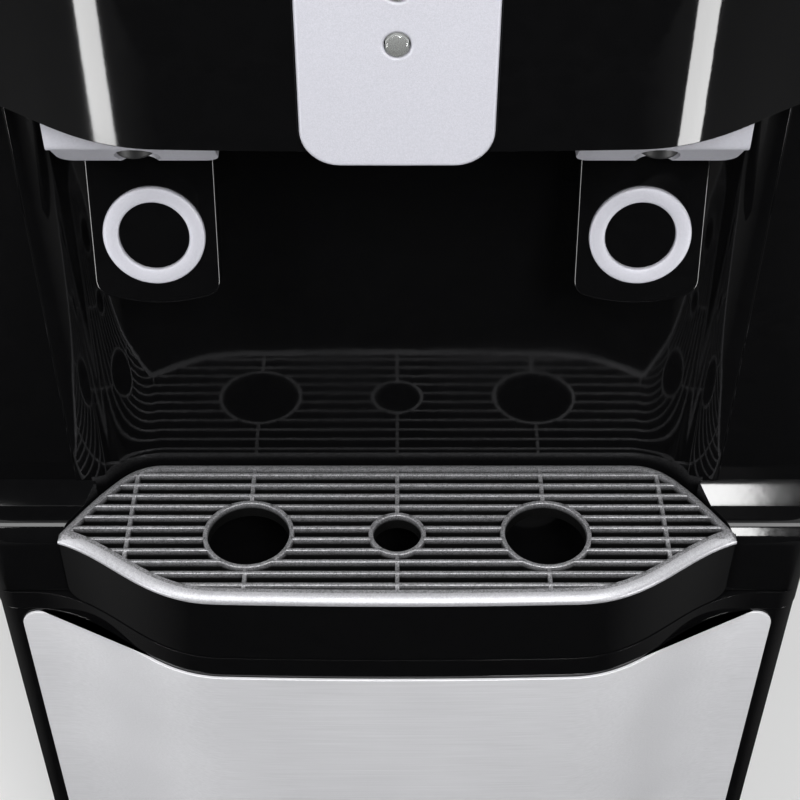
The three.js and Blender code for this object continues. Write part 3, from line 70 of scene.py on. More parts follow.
# %% Driving sizes
casing_low, casing_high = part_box("front_frame")
grille_low, grille_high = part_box("drip_grille")
half_width = casing_high.x
grille_z = grille_high.z
plan_y = grille_high.y
bow_reach = plan_y - grille_low.y
tray_half_width = grille_high.x
seat = 0.3 * millimetre
seam = 0.5 * millimetre
overrun = 6 * millimetre
print(f"bow reach {bow_reach:.4f}, grille plane at {grille_z:.3f}, half width {half_width:.3f}")

# %% [markdown]
# The camera matches the photograph. Its tilt comes from where the upright edges meet
# below the picture, its lens from the roundness of the three rings, and its height from
# the spacing of the bars. It is a short tele lens close to the machine, looking 42 degrees
# down, and the picture is shifted sideways by a third of a percent.

# %% Camera
camera_tilt = 42.4
camera_height = grille_z + 0.428
camera_y = plan_y - 0.4316
camera_data = bpy.data.cameras.new("photo_camera")
camera_data.sensor_width = 36
camera_data.lens = 68.9
camera_data.shift_x = 0.0035
camera_data.dof.use_dof = False
camera = bpy.data.objects.new("photo_camera", camera_data)
camera.location = (0, camera_y, camera_height)
camera.rotation_euler = (math.radians(90 - camera_tilt), 0, 0)
scene.collection.objects.link(camera)
scene.camera = camera
print("camera looks down", camera_tilt, "degrees")

# %% [markdown]
# Every finish is a small node tree on one Principled shader. Noise on Object coordinates
# is measured in metres, so a scale of 400 makes patches of two and a half millimetres.
# Four helpers keep the trees short: one starts a material, one adds a noise, one turns a
# noise into a range of roughness or colour, and one adds bump.

# %% Material helpers
def start_finish(name, colour, roughness, metallic=0.0):
    material = bpy.data.materials.new(name)
    material.use_nodes = True
    shader = material.node_tree.nodes["Principled BSDF"]
    shader.inputs["Base Color"].default_value = (*colour, 1)
    shader.inputs["Roughness"].default_value = roughness
    shader.inputs["Metallic"].default_value = metallic
    return material, shader


def place_map(material, stretch=(1, 1, 1)):
    tree = material.node_tree
    coordinates = tree.nodes.new("ShaderNodeTexCoord")
    mapping = tree.nodes.new("ShaderNodeMapping")
    mapping.inputs["Scale"].default_value = stretch
    tree.links.new(coordinates.outputs["Object"], mapping.inputs["Vector"])
    return mapping.outputs["Vector"]


def add_noise(material, scale, detail=3.0, stretch=(1, 1, 1)):
    noise = material.node_tree.nodes.new("ShaderNodeTexNoise")
    noise.inputs["Scale"].default_value = scale
    noise.inputs["Detail"].default_value = detail
    material.node_tree.links.new(place_map(material, stretch), noise.inputs["Vector"])
    return noise.outputs["Fac"]


def add_range(material, value, low, high, from_low=0.3, from_high=0.7):
    stretch = material.node_tree.nodes.new("ShaderNodeMapRange")
    stretch.inputs["From Min"].default_value = from_low
    stretch.inputs["From Max"].default_value = from_high
    stretch.inputs["To Min"].default_value = low
    stretch.inputs["To Max"].default_value = high
    material.node_tree.links.new(value, stretch.inputs["Value"])
    return stretch.outputs["Result"]


def add_colours(material, value, dark, light):
    """Mixes two colours, either of which may come from another node."""
    links = material.node_tree.links
    mix = material.node_tree.nodes.new("ShaderNodeMix")
    mix.data_type = "RGBA"
    for socket, colour in (("A", dark), ("B", light)):
        if isinstance(colour, bpy.types.NodeSocket):
            links.new(colour, mix.inputs[socket])
        else:
            mix.inputs[socket].default_value = (*colour, 1)
    links.new(value, mix.inputs["Factor"])
    return mix.outputs["Result"]


def add_bump(material, shader, value, depth, strength=1.0):
    bump = material.node_tree.nodes.new("ShaderNodeBump")
    bump.inputs["Distance"].default_value = depth
    bump.inputs["Strength"].default_value = strength
    material.node_tree.links.new(value, bump.inputs["Height"])
    material.node_tree.links.new(bump.outputs["Normal"], shader.inputs["Normal"])
    return bump


def join_to(material, value, shader, socket):
    material.node_tree.links.new(value, shader.inputs[socket])


print("material helpers ready")

# %% [markdown]
# Polished black plastic is almost no colour and nearly all reflection. What makes it look
# moulded and not like a void is small: the polish isn't even, so its roughness wanders by
# a few hundredths, and the skin has a faint orange peel a few millimetres across. Satin
# black has a real grain, a spark-eroded texture of half a millimetre.

# %% Black plastics
polish_level = 0.37


def make_gloss_black():
    material, shader = start_finish("gloss_black", (0.0025, 0.0025, 0.0027), 0.06)
    wipe = add_noise(material, 26, 5, (1, 1, 0.35))
    join_to(material, add_range(material, wipe, 0.035, 0.10), shader, "Roughness")
    peel = add_noise(material, 210, 2)
    join_to(material, add_colours(material, peel, (0.0020, 0.0020, 0.0022), (0.0031, 0.0031, 0.0033)),
            shader, "Base Color")
    add_bump(material, shader, peel, 0.000012)
    shader.inputs["Specular IOR Level"].default_value = polish_level
    return material


def make_satin_black():
    material, shader = start_finish("satin_black", (0.012, 0.012, 0.013), 0.45)
    grain = add_noise(material, 1900, 2)
    cloud = add_noise(material, 40, 4)
    join_to(material, add_range(material, cloud, 0.38, 0.55), shader, "Roughness")
    join_to(material, add_colours(material, cloud, (0.010, 0.010, 0.011), (0.016, 0.016, 0.017)), shader,
            "Base Color")
    add_bump(material, shader, grain, 0.00004)
    return material


def make_black_sheet():
    material, shader = start_finish("black_sheet", (0.010, 0.010, 0.011), 0.4)
    powder = add_noise(material, 900, 3)
    cloud = add_noise(material, 18, 4)
    join_to(material, add_range(material, cloud, 0.30, 0.44), shader, "Roughness")
    join_to(material, add_colours(material, powder, (0.008, 0.008, 0.009), (0.014, 0.014, 0.015)), shader,
            "Base Color")
    add_bump(material, shader, powder, 0.00005)
    return material


def make_black_enamel():
    material, shader = start_finish("black_enamel", (0.012, 0.012, 0.012), 0.28)
    runs = add_noise(material, 120, 3, (1, 1, 0.3))
    join_to(material, add_range(material, runs, 0.2, 0.38), shader, "Roughness")
    join_to(material, add_colours(material, runs, (0.009, 0.009, 0.009), (0.017, 0.017, 0.016)), shader,
            "Base Color")
    add_bump(material, shader, runs, 0.00006)
    return material


print("black finishes ready")

# %% [markdown]
# The grille is painted with a metallic paint whose flakes sparkle one by one. A Voronoi
# texture gives each cell, about half a millimetre wide, its own random number. That number
# brightens or darkens the flake, and as a bump it tips the flake so that it flashes at its
# own angle. The colour fades to black within a few millimetres down the sides of the bars:
# that is painted shade, the shade that falls between the bars, and the Z of the Object
# coordinates tells how far down a point lies. The rim carries a lighter paint.

# %% Metallic paints
# Painted shade: how far below the top of the bars the colour has faded to black.
shade_fade_reach = 2.7 * millimetre


def add_flakes(material, scale):
    tree = material.node_tree
    flakes = tree.nodes.new("ShaderNodeTexVoronoi")
    flakes.inputs["Scale"].default_value = scale
    tree.links.new(place_map(material), flakes.inputs["Vector"])
    parts = tree.nodes.new("ShaderNodeSeparateColor")
    tree.links.new(flakes.outputs["Color"], parts.inputs["Color"])
    return parts.outputs["Red"], parts.outputs["Green"], flakes.outputs["Distance"]


def make_sparkle(name, dark, light, flake_scale, metallic, rough_low, rough_high, tip=0.7):
    material, shader = start_finish(name, light, rough_high, metallic)
    red, green, tilt = add_flakes(material, flake_scale)
    paint = add_colours(material, red, dark, light)
    join_to(material, paint, shader, "Base Color")
    join_to(material, add_range(material, green, rough_low, rough_high, 0, 1), shader, "Roughness")
    add_bump(material, shader, tilt, 0.00012, tip)
    return material, shader, paint


def make_grille_paint():
    material, shader, paint = make_sparkle("grille_paint", (0.14, 0.14, 0.145), (0.36, 0.36, 0.375), 2600,
                                           0.6, 0.34, 0.55, 0.5)
    tree = material.node_tree
    parts = tree.nodes.new("ShaderNodeSeparateXYZ")
    tree.links.new(place_map(material), parts.inputs["Vector"])
    # Painted shade: the colour darkens down the sides of the bars and is black at the reach below the top.
    painted_shade_fade = add_range(material, parts.outputs["Z"], 0, 1, grille_z - shade_fade_reach,
                        grille_z - shade_fade_reach / 3)
    join_to(material, add_colours(material, painted_shade_fade, (0.006, 0.006, 0.006), paint), shader, "Base Color")
    return material


def make_rim_paint():
    return make_sparkle("rim_paint", (0.30, 0.30, 0.315), (0.41, 0.41, 0.43), 2800, 0.4, 0.34, 0.48, 0.3)[0]


def make_silver_paint():
    material, shader = start_finish("silver_paint", (0.44, 0.44, 0.48), 0.5, 0.15)
    shader.inputs["Specular IOR Level"].default_value = 0.3
    red, green, tilt = add_flakes(material, 5200)
    join_to(material, add_colours(material, red, (0.41, 0.41, 0.45), (0.48, 0.48, 0.525)), shader,
            "Base Color")
    join_to(material, add_range(material, green, 0.44, 0.58, 0, 1), shader, "Roughness")
    add_bump(material, shader, tilt, 0.00002)
    return material


print("metallic paints ready")

# %% [markdown]
# Steel comes in three kinds here. The door's panel is brushed sideways: a noise stretched
# a hundredfold along X gives lines that change both brightness and roughness. Zinc sheet
# has soft grey spangles a centimetre wide. Turned pins and dull tank steel have fine
# marks round them.

# %% Metals
def make_brushed(name, colour, stretch, rough_low, rough_high, metallic=1.0):
    material, shader = start_finish(name, colour, rough_high, metallic)
    lines = add_noise(material, 30, 6, stretch)
    cloud = add_noise(material, 14, 3)
    dark = tuple(0.82 * part for part in colour)
    light = tuple(min(1.12 * part, 1) for part in colour)
    join_to(material, add_colours(material, lines, dark, light), shader, "Base Color")
    join_to(material, add_range(material, cloud, rough_low, rough_high), shader, "Roughness")
    add_bump(material, shader, lines, 0.00002)
    return material


def make_brushed_steel():
    return make_brushed("brushed_steel", (0.58, 0.58, 0.60), (0.6, 60, 90), 0.42, 0.54, 0.3)


def make_tank_steel():
    return make_brushed("tank_steel", (0.52, 0.52, 0.53), (60, 60, 0.6), 0.30, 0.42)


def make_pin_steel():
    return make_brushed("pin_steel", (0.55, 0.55, 0.55), (60, 4, 4), 0.20, 0.30)


def make_zinc_sheet():
    material, shader = start_finish("zinc_sheet", (0.40, 0.41, 0.42), 0.4, 0.85)
    red, green, _ = add_flakes(material, 110)
    fog = add_noise(material, 60, 4)
    join_to(material, add_colours(material, red, (0.36, 0.37, 0.38), (0.47, 0.48, 0.49)), shader,
            "Base Color")
    join_to(material, add_range(material, green, 0.34, 0.50, 0, 1), shader, "Roughness")
    add_bump(material, shader, fog, 0.00004)
    return material


def make_copper():
    material, shader = start_finish("copper", (0.62, 0.30, 0.17), 0.35, 1.0)
    tarnish = add_noise(material, 90, 5)
    join_to(material, add_colours(material, tarnish, (0.42, 0.17, 0.09), (0.70, 0.36, 0.22)), shader,
            "Base Color")
    join_to(material, add_range(material, tarnish, 0.26, 0.46), shader, "Roughness")
    add_bump(material, shader, tarnish, 0.00003)
    return material


print("metals ready")

# %% [markdown]
# The quiet plastics get the same care: white moulding with faint flow marks, silicone hose
# that lets some light through, rubber with a dusty bloom, expanded foam with open cells,
# and a circuit board whose lacquer varies. The lamps' lenses are clear plastic.

# %% Other plastics
def make_plain(name, dark, light, scale, rough_low, rough_high, depth):
    material, shader = start_finish(name, light, rough_high)
    cloud = add_noise(material, scale, 4)
    grain = add_noise(material, 30 * scale, 2)
    join_to(material, add_colours(material, cloud, dark, light), shader, "Base Color")
    join_to(material, add_range(material, cloud, rough_low, rough_high), shader, "Roughness")
    add_bump(material, shader, grain, depth)
    return material


def make_white_plastic():
    return make_plain("white_plastic", (0.66, 0.66, 0.64), (0.74, 0.74, 0.72), 30, 0.38, 0.5, 0.00003)


def make_silicone():
    material = make_plain("silicone", (0.62, 0.62, 0.60), (0.74, 0.74, 0.72), 50, 0.3, 0.45, 0.00003)
    material.node_tree.nodes["Principled BSDF"].inputs["Transmission Weight"].default_value = 0.3
    return material


def make_rubber():
    return make_plain("rubber", (0.022, 0.022, 0.022), (0.045, 0.044, 0.043), 45, 0.6, 0.85, 0.00008)


def make_foam():
    return make_plain("foam", (0.55, 0.50, 0.38), (0.78, 0.74, 0.62), 25, 0.8, 0.95, 0.0005)


def make_board():
    return make_plain("board", (0.010, 0.10, 0.035), (0.022, 0.17, 0.06), 70, 0.3, 0.5, 0.00003)


def make_lens():
    material, shader = start_finish("lens", (0.85, 0.87, 0.85), 0.08)
    shader.inputs["Transmission Weight"].default_value = 0.85
    haze = add_noise(material, 500, 2)
    join_to(material, add_range(material, haze, 0.05, 0.14), shader, "Roughness")
    add_bump(material, shader, haze, 0.00002)
    return material


makers = {
    "gloss_black": make_gloss_black, "satin_black": make_satin_black, "black_sheet": make_black_sheet,
    "black_enamel": make_black_enamel, "grey_sparkle": make_grille_paint, "silver_paint": make_silver_paint,
    "brushed_steel": make_brushed_steel, "tank_steel": make_tank_steel, "pin_steel": make_pin_steel,
    "zinc_sheet": make_zinc_sheet, "copper": make_copper, "white_plastic": make_white_plastic,
    "silicone": make_silicone, "rubber": make_rubber, "foam": make_foam, "board": make_board,
    "lens": make_lens,
}
finishes = {slot: make() for slot, make in makers.items()}
rim_paint = make_rim_paint()
for node, piece in nodes.items():
    piece.data.materials.clear()
    piece.data.materials.append(finishes[slot_of[node]])
print("finishes:", len(finishes) + 1)

# %% [markdown]
# Mesh helpers. An outline is a list of 2-D points, counter-clockwise. A sweep draws it out
# along one axis and closes both ends; a loft joins a row of equal rings. Booleans are
# Blender's own modifier, evaluated once and read back as a plain mesh, so that no
# modifier is left on a piece.

# %% Mesh helpers
def new_object(name, bm):
    bmesh.ops.recalc_face_normals(bm, faces=bm.faces)
    if bm.calc_volume(signed=True) < 0:
        bmesh.ops.reverse_faces(bm, faces=bm.faces)
    mesh = bpy.data.meshes.new(name)
    bm.to_mesh(mesh)
    bm.free()
    obj = bpy.data.objects.new(name, mesh)
    scene.collection.objects.link(obj)
    return obj


def loft(name, rings, closed_ends=True):
    """Joins rings of 3-D points one after another."""
    bm = bmesh.new()
    rows = [[bm.verts.new(point) for point in ring] for ring in rings]
    count = len(rows[0])
    for before, after in zip(rows, rows[1:]):
        for i in range(count):
            j = (i + 1) % count
            bm.faces.new((before[i], before[j], after[j], after[i]))
    if closed_ends:
        bm.faces.new(list(reversed(rows[0])))
        bm.faces.new(rows[-1])
    return new_object(name, bm)


def prism(outline, low, high, name="tool"):
    """An outline in plan, raised between two levels."""
    rings = [[(x, y + plan_y, z) for x, y in tidy(outline)] for z in (low, high)]
    return loft(name, rings)


def side_prism(outline, left, right, name="tool"):
    """An outline in y and z, drawn from left to right."""
    rings = [[(x, y + plan_y, z) for y, z in outline] for x in (left, right)]
    return loft(name, rings)


def front_prism(outline, front, back, name="tool"):
    """An outline in x and z, drawn from front to back."""
    rings = [[(x, y + plan_y, z) for x, z in outline] for y in (front, back)]
    return loft(name, rings)


def slab(left, right, front, back, low, high, name="tool"):
    return prism([(left, front), (right, front), (right, back), (left, back)], low, high, name)


def circle(radius, x, y, sides=96):
    angles = [2 * math.pi * i / sides for i in range(sides)]
    return [(x + radius * math.cos(a), y + radius * math.sin(a)) for a in angles]


def bake(obj):
    """Turns an object's modifiers into plain mesh."""
    bpy.context.view_layer.update()
    graph = bpy.context.evaluated_depsgraph_get()
    mesh = bpy.data.meshes.new_from_object(obj.evaluated_get(graph))
    obj.modifiers.clear()
    obj.data = mesh
    return obj


def boolean(obj, operation, *tools):
    for tool in tools:
        step = obj.modifiers.new(operation.lower(), "BOOLEAN")
        step.operation = operation
        step.solver = "EXACT"
        step.object = tool
    bake(obj)
    for tool in tools:
        bpy.data.objects.remove(tool)
    return obj


def cut(obj, *tools):
    return boolean(obj, "DIFFERENCE", *tools)


def join(obj, *tools):
    return boolean(obj, "UNION", *tools)


def common(obj, *tools):
    return boolean(obj, "INTERSECT", *tools)


print("mesh helpers ready")

# %% [markdown]
# A real moulding has no sharp edge: even a crisp one is rounded by a few tenths of a
# millimetre, and that radius catches the thin bright lines that draw a black machine.
# So each piece is cleaned, its edges are bevelled, and its normals are hardened so that
# the flat faces stay flat in the reflections. The same step hands the piece to its body.

# %% Finishing a piece
def clean(obj, angle=0.4):
    bm = bmesh.new()
    bm.from_mesh(obj.data)
    bmesh.ops.remove_doubles(bm, verts=bm.verts, dist=0.01 * millimetre)
    flat = math.radians(angle)
    bmesh.ops.dissolve_limit(bm, angle_limit=flat, verts=bm.verts, edges=bm.edges)
    bmesh.ops.delete(bm, geom=[edge for edge in bm.edges if not edge.link_faces], context="EDGES")
    bm.to_mesh(obj.data)
    bm.free()
    return obj


def weld(obj, reach):
    """Merges the slivers that two cuts along nearly the same line leave."""
    bm = bmesh.new()
    bm.from_mesh(obj.data)
    bmesh.ops.remove_doubles(bm, verts=bm.verts, dist=reach)
    bmesh.ops.dissolve_degenerate(bm, dist=reach / 10, edges=bm.edges)
    bm.to_mesh(obj.data)
    bm.free()


def round_edges(obj, width, segments=3, angle=32):
    bevel = obj.modifiers.new("edge", "BEVEL")
    bevel.width = width
    bevel.segments = segments
    bevel.limit_method = "ANGLE"
    bevel.angle_limit = math.radians(angle)
    bevel.harden_normals = True
    bevel.miter_outer = "MITER_ARC"
    return obj


def shade(obj, angle=32):
    for face in obj.data.polygons:
        face.use_smooth = True
    obj.data.set_sharp_from_angle(angle=math.radians(angle))
    return obj


def hand_over(obj, body, slot, material=None):
    obj.data.materials.clear()
    obj.data.materials.append(material or finishes[slot])
    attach(obj, body)
    return obj


def show(obj, node, edge=0.4 * millimetre, segments=3, angle=32, material=None, cleaned=True):
    """Cleans and rounds a piece, and lets it stand for a CAD node."""
    if cleaned:
        clean(obj)
    shade(obj, angle)
    if edge:
        round_edges(obj, edge, segments, angle)
        bake(obj)
    obj.name = node + "_finished"
    obj.data.name = obj.name
    hand_over(obj, body_of[node], slot_of[node], material)
    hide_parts(node)
    print(f"{obj.name}: {len(obj.data.polygons)} faces")
    return obj


def softened(node, edge=0.4 * millimetre, segments=2, angle=32):
    """A copy of a CAD node with its edges rounded."""
    obj = bpy.data.objects.new(node + "_copy", nodes[node].data.copy())
    scene.collection.objects.link(obj)
    return show(obj, node, edge, segments, angle)


print("finishing helpers ready")

# %% [markdown]
# The whole front follows one line in plan: a shallow crown in the middle, a long flare
# back to the sides, and flat ends. Two Bezier curves draw it, with their handles given as
# shares of the half width. Using the same function for the tray, the skirt, the hood and
# the door is what makes their faces line up.

# %% The bow in plan
def bezier(handles, steps):
    degree = len(handles) - 1
    points = []
    for i in range(steps + 1):
        t = i / steps
        weights = [math.comb(degree, k) * t**k * (1 - t) ** (degree - k) for k in range(degree + 1)]
        points.append(tuple(sum(w * h[axis] for w, h in zip(weights, handles)) for axis in (0, 1)))
    return points


def mirrored(points):
    return [(-x, y) for x, y in reversed(points)]


side_reach = 37.4 * millimetre
bow_crown = 1 * millimetre
bow_width_shares = (0.416, 0.63, 0.698, 0.91)


def bow_line(reach_of_half, steps=40):
    """The bow from left to right, between plus and minus a half width."""
    centre_end, centre_pull, side_pull, side_start = (share * half_width for share in bow_width_shares)
    slope = 2 * bow_crown / centre_end
    turn = (centre_end, -bow_reach + bow_crown)
    pull = (centre_pull, -bow_reach + bow_crown + slope * (centre_pull - centre_end))
    half = bezier([(0, -bow_reach), (centre_end / 2, -bow_reach), turn], 8)
    half += bezier([turn, pull, (side_pull, -side_reach), (side_start, -side_reach)], steps)[1:]
    half.append((half_width, -side_reach))
    kept = [point for point in half if point[0] < reach_of_half - seat]
    after = next(point for point in half if point[0] >= reach_of_half - seat)
    last = kept[-1]
    share = (reach_of_half - last[0]) / (after[0] - last[0])
    kept.append((reach_of_half, last[1] + share * (after[1] - last[1])))
    return mirrored(kept[1:]) + kept


def crossing(a, b, c, d):
    """Where two edges cross, or None."""
    first = Vector(b) - Vector(a)
    second = Vector(d) - Vector(c)
    turn = first.cross(second)
    if turn == 0:
        return None
    between = Vector(c) - Vector(a)
    along_first = between.cross(second) / turn
    along_second = between.cross(first) / turn
    if 0 < along_first < 1 and 0 < along_second < 1:
        return tuple(Vector(a) + along_first * first)
    return None


def untangled(points, longest_loop=10):
    """Shrinks each small loop, which an inward offset leaves at a pointed tip, to one point."""
    count = len(points)
    for i in range(count):
        for reach in range(longest_loop, 1, -1):
            j = (i + reach) % count
            meeting = crossing(points[i], points[(i + 1) % count], points[j], points[(j + 1) % count])
            if meeting:
                for k in range(1, reach + 1):
                    points[(i + k) % count] = meeting
                break
    return points


def offset(points, distance_of):
    """Moves every edge outwards by its own distance, and meets its neighbours again."""
    count = len(points)
    edges = []
    for i in range(count):
        start = Vector(points[i])
        end = Vector(points[(i + 1) % count])
        way = (end - start).normalized()
        outward = Vector((way.y, -way.x))
        edges.append((start + outward * distance_of(start, end), way))
    moved = []
    for i in range(count):
        before_start, before_way = edges[i - 1]
        start, way = edges[i]
        turn = before_way.cross(way)
        if abs(turn) < 0.002:
            other = before_start + before_way * (start - before_start).dot(before_way)
            moved.append(tuple((start + other) / 2))
        else:
            reach = (start - before_start).cross(way) / turn
            moved.append(tuple(before_start + before_way * reach))
    return untangled(moved)


def grown(points, distance):
    return offset(points, lambda start, end: distance)


def tidy(points):
    kept = []
    for point in points:
        if not kept or (Vector(point) - Vector(kept[-1])).length > 0.02 * millimetre:
            kept.append(point)
    if (Vector(kept[0]) - Vector(kept[-1])).length < 0.02 * millimetre:
        kept.pop()
    return kept


corner_radius = 9 * millimetre
corner_lead = 2 * millimetre


def front_plan(back, inset=0.0):
    """The bow with its rounded outer corners, closed behind."""
    centre = (half_width - corner_radius, -side_reach + corner_radius)
    angles = [math.pi / 2 * (i / 12 - 1) for i in range(13)]
    corner = [(centre[0] + corner_radius * math.cos(a),
               centre[1] + corner_radius * math.sin(a)) for a in angles]
    right = corner + [(half_width, back)]
    outline = tidy(bow_line(half_width - corner_radius - corner_lead) + right + mirrored(right))
    return offset(outline, lambda start, end: 0 if min(start.y, end.y) > back - seat / 10 else -inset)


print("bow line has", len(bow_line(half_width)), "points")

# %% [markdown]
# The drip tray shares the bow in front. Behind, it narrows in two soft curves to the
# straight back edge. The bay's wall is that same outline moved out by a millimetre, so
# the mirrored bars in the wall meet the real ones.

# %% The tray in plan
tray_tip_reach = 37.2 * millimetre
tray_back_width_shares = (0.72, 0.805, 0.865, 0.918)
tray_back_reach_shares = (0, 0, 0.28, 0.49)


def tray_plan():
    wall_end, wall_pull, knee, flank_pull = (share * tray_half_width for share in tray_back_width_shares)
    reaches = [-share * tray_tip_reach for share in tray_back_reach_shares]
    flank = bezier([(tray_half_width, -tray_tip_reach), (flank_pull, reaches[3]), (knee, reaches[2])], 18)
    flank += bezier([(knee, reaches[2]), (wall_pull, reaches[1]), (wall_end, reaches[0])], 18)[1:]
    return tidy(bow_line(tray_half_width) + flank + mirrored(flank))


def is_tray_front(start, end):
    return min(start[1], end[1]) < -tray_tip_reach - seat


def tray_plan_inside(front_distance, back_distance):
    return offset(tray_plan(), lambda a, b: -front_distance if is_tray_front(a, b) else -back_distance)


def rounded_rectangle(left, right, low, high, radius, steps=10):
    points = []
    centres = [(right - radius, low + radius), (right - radius, high - radius),
               (left + radius, high - radius), (left + radius, low + radius)]
    for quarter, (x, z) in enumerate(centres):
        for i in range(steps + 1):
            angle = math.pi / 2 * (quarter - 1 + i / steps)
            points.append((x + radius * math.cos(angle), z + radius * math.sin(angle)))
    return tidy(points)


print("tray outline has", len(tray_plan()), "points")

# %% [markdown]
# The grille is one moulding: a rounded rim, eleven bars, five cross ribs and three rings.
# The bars and ribs repeat, so Geometry Nodes make them: a rounded section is swept along a
# line, the line is repeated at the pitch of the bars, and a Boolean trims the lot to the
# field inside the rim and round the rings. One tree serves bars and ribs alike, because
# only the direction, the count and the pitch differ. The sizes are named inputs of the
# tree, so the same bars could fill another tray.

# %% Geometry Nodes for the bars
def new_tree(name, inputs):
    tree = bpy.data.node_groups.new(name, "GeometryNodeTree")
    for label, kind, value in inputs:
        socket = tree.interface.new_socket(label, in_out="INPUT", socket_type=kind)
        if value is not None:
            socket.default_value = value
    tree.interface.new_socket("Geometry", in_out="OUTPUT", socket_type="NodeSocketGeometry")
    return tree


def grow(name, tree, values):
    """Runs a tree on an empty mesh and keeps the result as a plain mesh."""
    obj = bpy.data.objects.new(name, bpy.data.meshes.new(name))
    scene.collection.objects.link(obj)
    modifier = obj.modifiers.new("grow", "NODES")
    modifier.node_group = tree
    sockets = {item.name: item.identifier for item in tree.interface.items_tree if item.in_out == "INPUT"}
    for label, value in values.items():
        modifier[sockets[label]] = value
    return bake(obj)


def make_bar_tree():
    tree = new_tree("repeated_bars", [
        ("Start", "NodeSocketVector", (0, 0, 0)), ("End", "NodeSocketVector", (1, 0, 0)),
        ("Step", "NodeSocketVector", (0, 1, 0)), ("Count", "NodeSocketInt", 11),
        ("Width", "NodeSocketFloat", 0.0015), ("Height", "NodeSocketFloat", 0.007),
        ("Rounding", "NodeSocketFloat", 0.0004), ("Finish", "NodeSocketMaterial", None),
    ])
    make = tree.nodes.new
    link = tree.links.new
    given = make("NodeGroupInput")
    section = make("GeometryNodeCurvePrimitiveQuadrilateral")
    soft = make("GeometryNodeFilletCurve")
    soft.mode = "POLY"
    soft.inputs["Count"].default_value = 4
    line = make("GeometryNodeCurvePrimitiveLine")
    bar = make("GeometryNodeCurveToMesh")
    bar.inputs["Fill Caps"].default_value = True
    places = make("GeometryNodeMeshLine")
    copies = make("GeometryNodeInstanceOnPoints")
    real = make("GeometryNodeRealizeInstances")
    paint = make("GeometryNodeSetMaterial")
    out = make("NodeGroupOutput")
    link(given.outputs["Width"], section.inputs["Width"])
    link(given.outputs["Height"], section.inputs["Height"])
    link(section.outputs["Curve"], soft.inputs["Curve"])
    link(given.outputs["Rounding"], soft.inputs["Radius"])
    link(given.outputs["Start"], line.inputs["Start"])
    link(given.outputs["End"], line.inputs["End"])
    link(line.outputs["Curve"], bar.inputs["Curve"])
    link(soft.outputs["Curve"], bar.inputs["Profile Curve"])
    link(given.outputs["Count"], places.inputs["Count"])
    link(given.outputs["Step"], places.inputs["Offset"])
    link(places.outputs["Mesh"], copies.inputs["Points"])
    link(bar.outputs["Mesh"], copies.inputs["Instance"])
    link(copies.outputs["Instances"], real.inputs["Geometry"])
    link(real.outputs["Geometry"], paint.inputs["Geometry"])
    link(given.outputs["Finish"], paint.inputs["Material"])
    link(paint.outputs["Geometry"], out.inputs["Geometry"])
    return tree


bar_tree = make_bar_tree()
print("bar tree has", len(bar_tree.nodes), "nodes")

# %% [markdown]
# Bars run along X and ribs along Y. The tree's rounded section is drawn in the plane across
# the line, so its width is the bar's width. The rings are turned, and each bores away the
# bars inside it.

# %% Grille field
rim_front = 5.5 * millimetre
rim_back = 3.6 * millimetre
rim_height = 3 * millimetre
bar_count = 11
bar_pitch = 5.66 * millimetre
first_bar_reach = 6.1 * millimetre
bar_width = 1.5 * millimetre
bar_height = 7 * millimetre
bar_rounding = 0.45 * millimetre
rib_width = 1.6 * millimetre
ring_reach = 37.6 * millimetre
ring_places = [(0, 10.9 * millimetre), (0.0563, 17.3 * millimetre), (-0.0563, 17.3 * millimetre)]
ring_wall = 1.8 * millimetre
rib_places = (-0.102, -0.0563, 0, 0.0563, 0.102)


def grow_bars(name, start, end, step, count, width):
    values = {"Start": start, "End": end, "Step": step, "Count": count, "Width": width,
              "Height": bar_height, "Rounding": bar_rounding, "Finish": finishes["grey_sparkle"]}
    return grow(name, bar_tree, values)


def turned(name, profile, x, y, sides=96):
    """A closed profile of radius and height turned about an upright axis, in plan coordinates."""
    bm = bmesh.new()
    rings = []
    for radius, z in profile:
        if radius == 0:
            rings.append([bm.verts.new((x, y + plan_y, z))] * sides)
            continue
        angles = [2 * math.pi * i / sides for i in range(sides)]
        rings.append([bm.verts.new((x + radius * math.cos(a), y + plan_y + radius * math.sin(a),
                                    z)) for a in angles])
    for ring, following in zip(rings, rings[1:] + rings[:1]):
        for i in range(sides):
            j = (i + 1) % sides
            corners = list(dict.fromkeys((ring[i], ring[j], following[j], following[i])))
            if len(corners) > 2:
                bm.faces.new(corners)
    return new_object(name, bm)


def ring_profile(radius):
    inner = radius - ring_wall
    low = grille_z - bar_height
    soft = bar_rounding
    top = [(radius - soft + soft * math.cos(a), grille_z - soft + soft * math.sin(a))
           for a in (math.pi / 2 * i / 4 for i in range(5))]
    top += [(inner + soft - soft * math.sin(a), grille_z - soft + soft * math.cos(a))
            for a in (math.pi / 2 * i / 4 for i in range(5))]
    return top + [(inner, low), (radius, low)]


def make_field():
    bar_z = grille_z - bar_height / 2
    first = plan_y - first_bar_reach
    bars = grow_bars("grille_bars", (-half_width, first, bar_z), (half_width, first, bar_z),
                     (0, -bar_pitch, 0), bar_count, bar_width)
    rib_drop = 0.12 * millimetre
    ribs = [grow_bars("rib", (x, plan_y + overrun, bar_z - rib_drop),
                      (x, plan_y - half_width, bar_z - rib_drop),
                      (0, 0, 0), 1, rib_width) for x in rib_places]
    join(bars, *ribs)
    plan = tray_plan_inside(rim_front - 0.4 * millimetre, rim_back - 0.4 * millimetre)
    common(bars, prism(plan, grille_z - 2 * bar_height, grille_z + overrun))
    bores = [prism(circle(radius - ring_wall / 2, x, -ring_reach), grille_z - 2 * bar_height,
                   grille_z + overrun)
             for x, radius in ring_places]
    cut(bars, *bores)
    return bars


field = make_field()
print("field:", len(field.data.polygons), "faces")

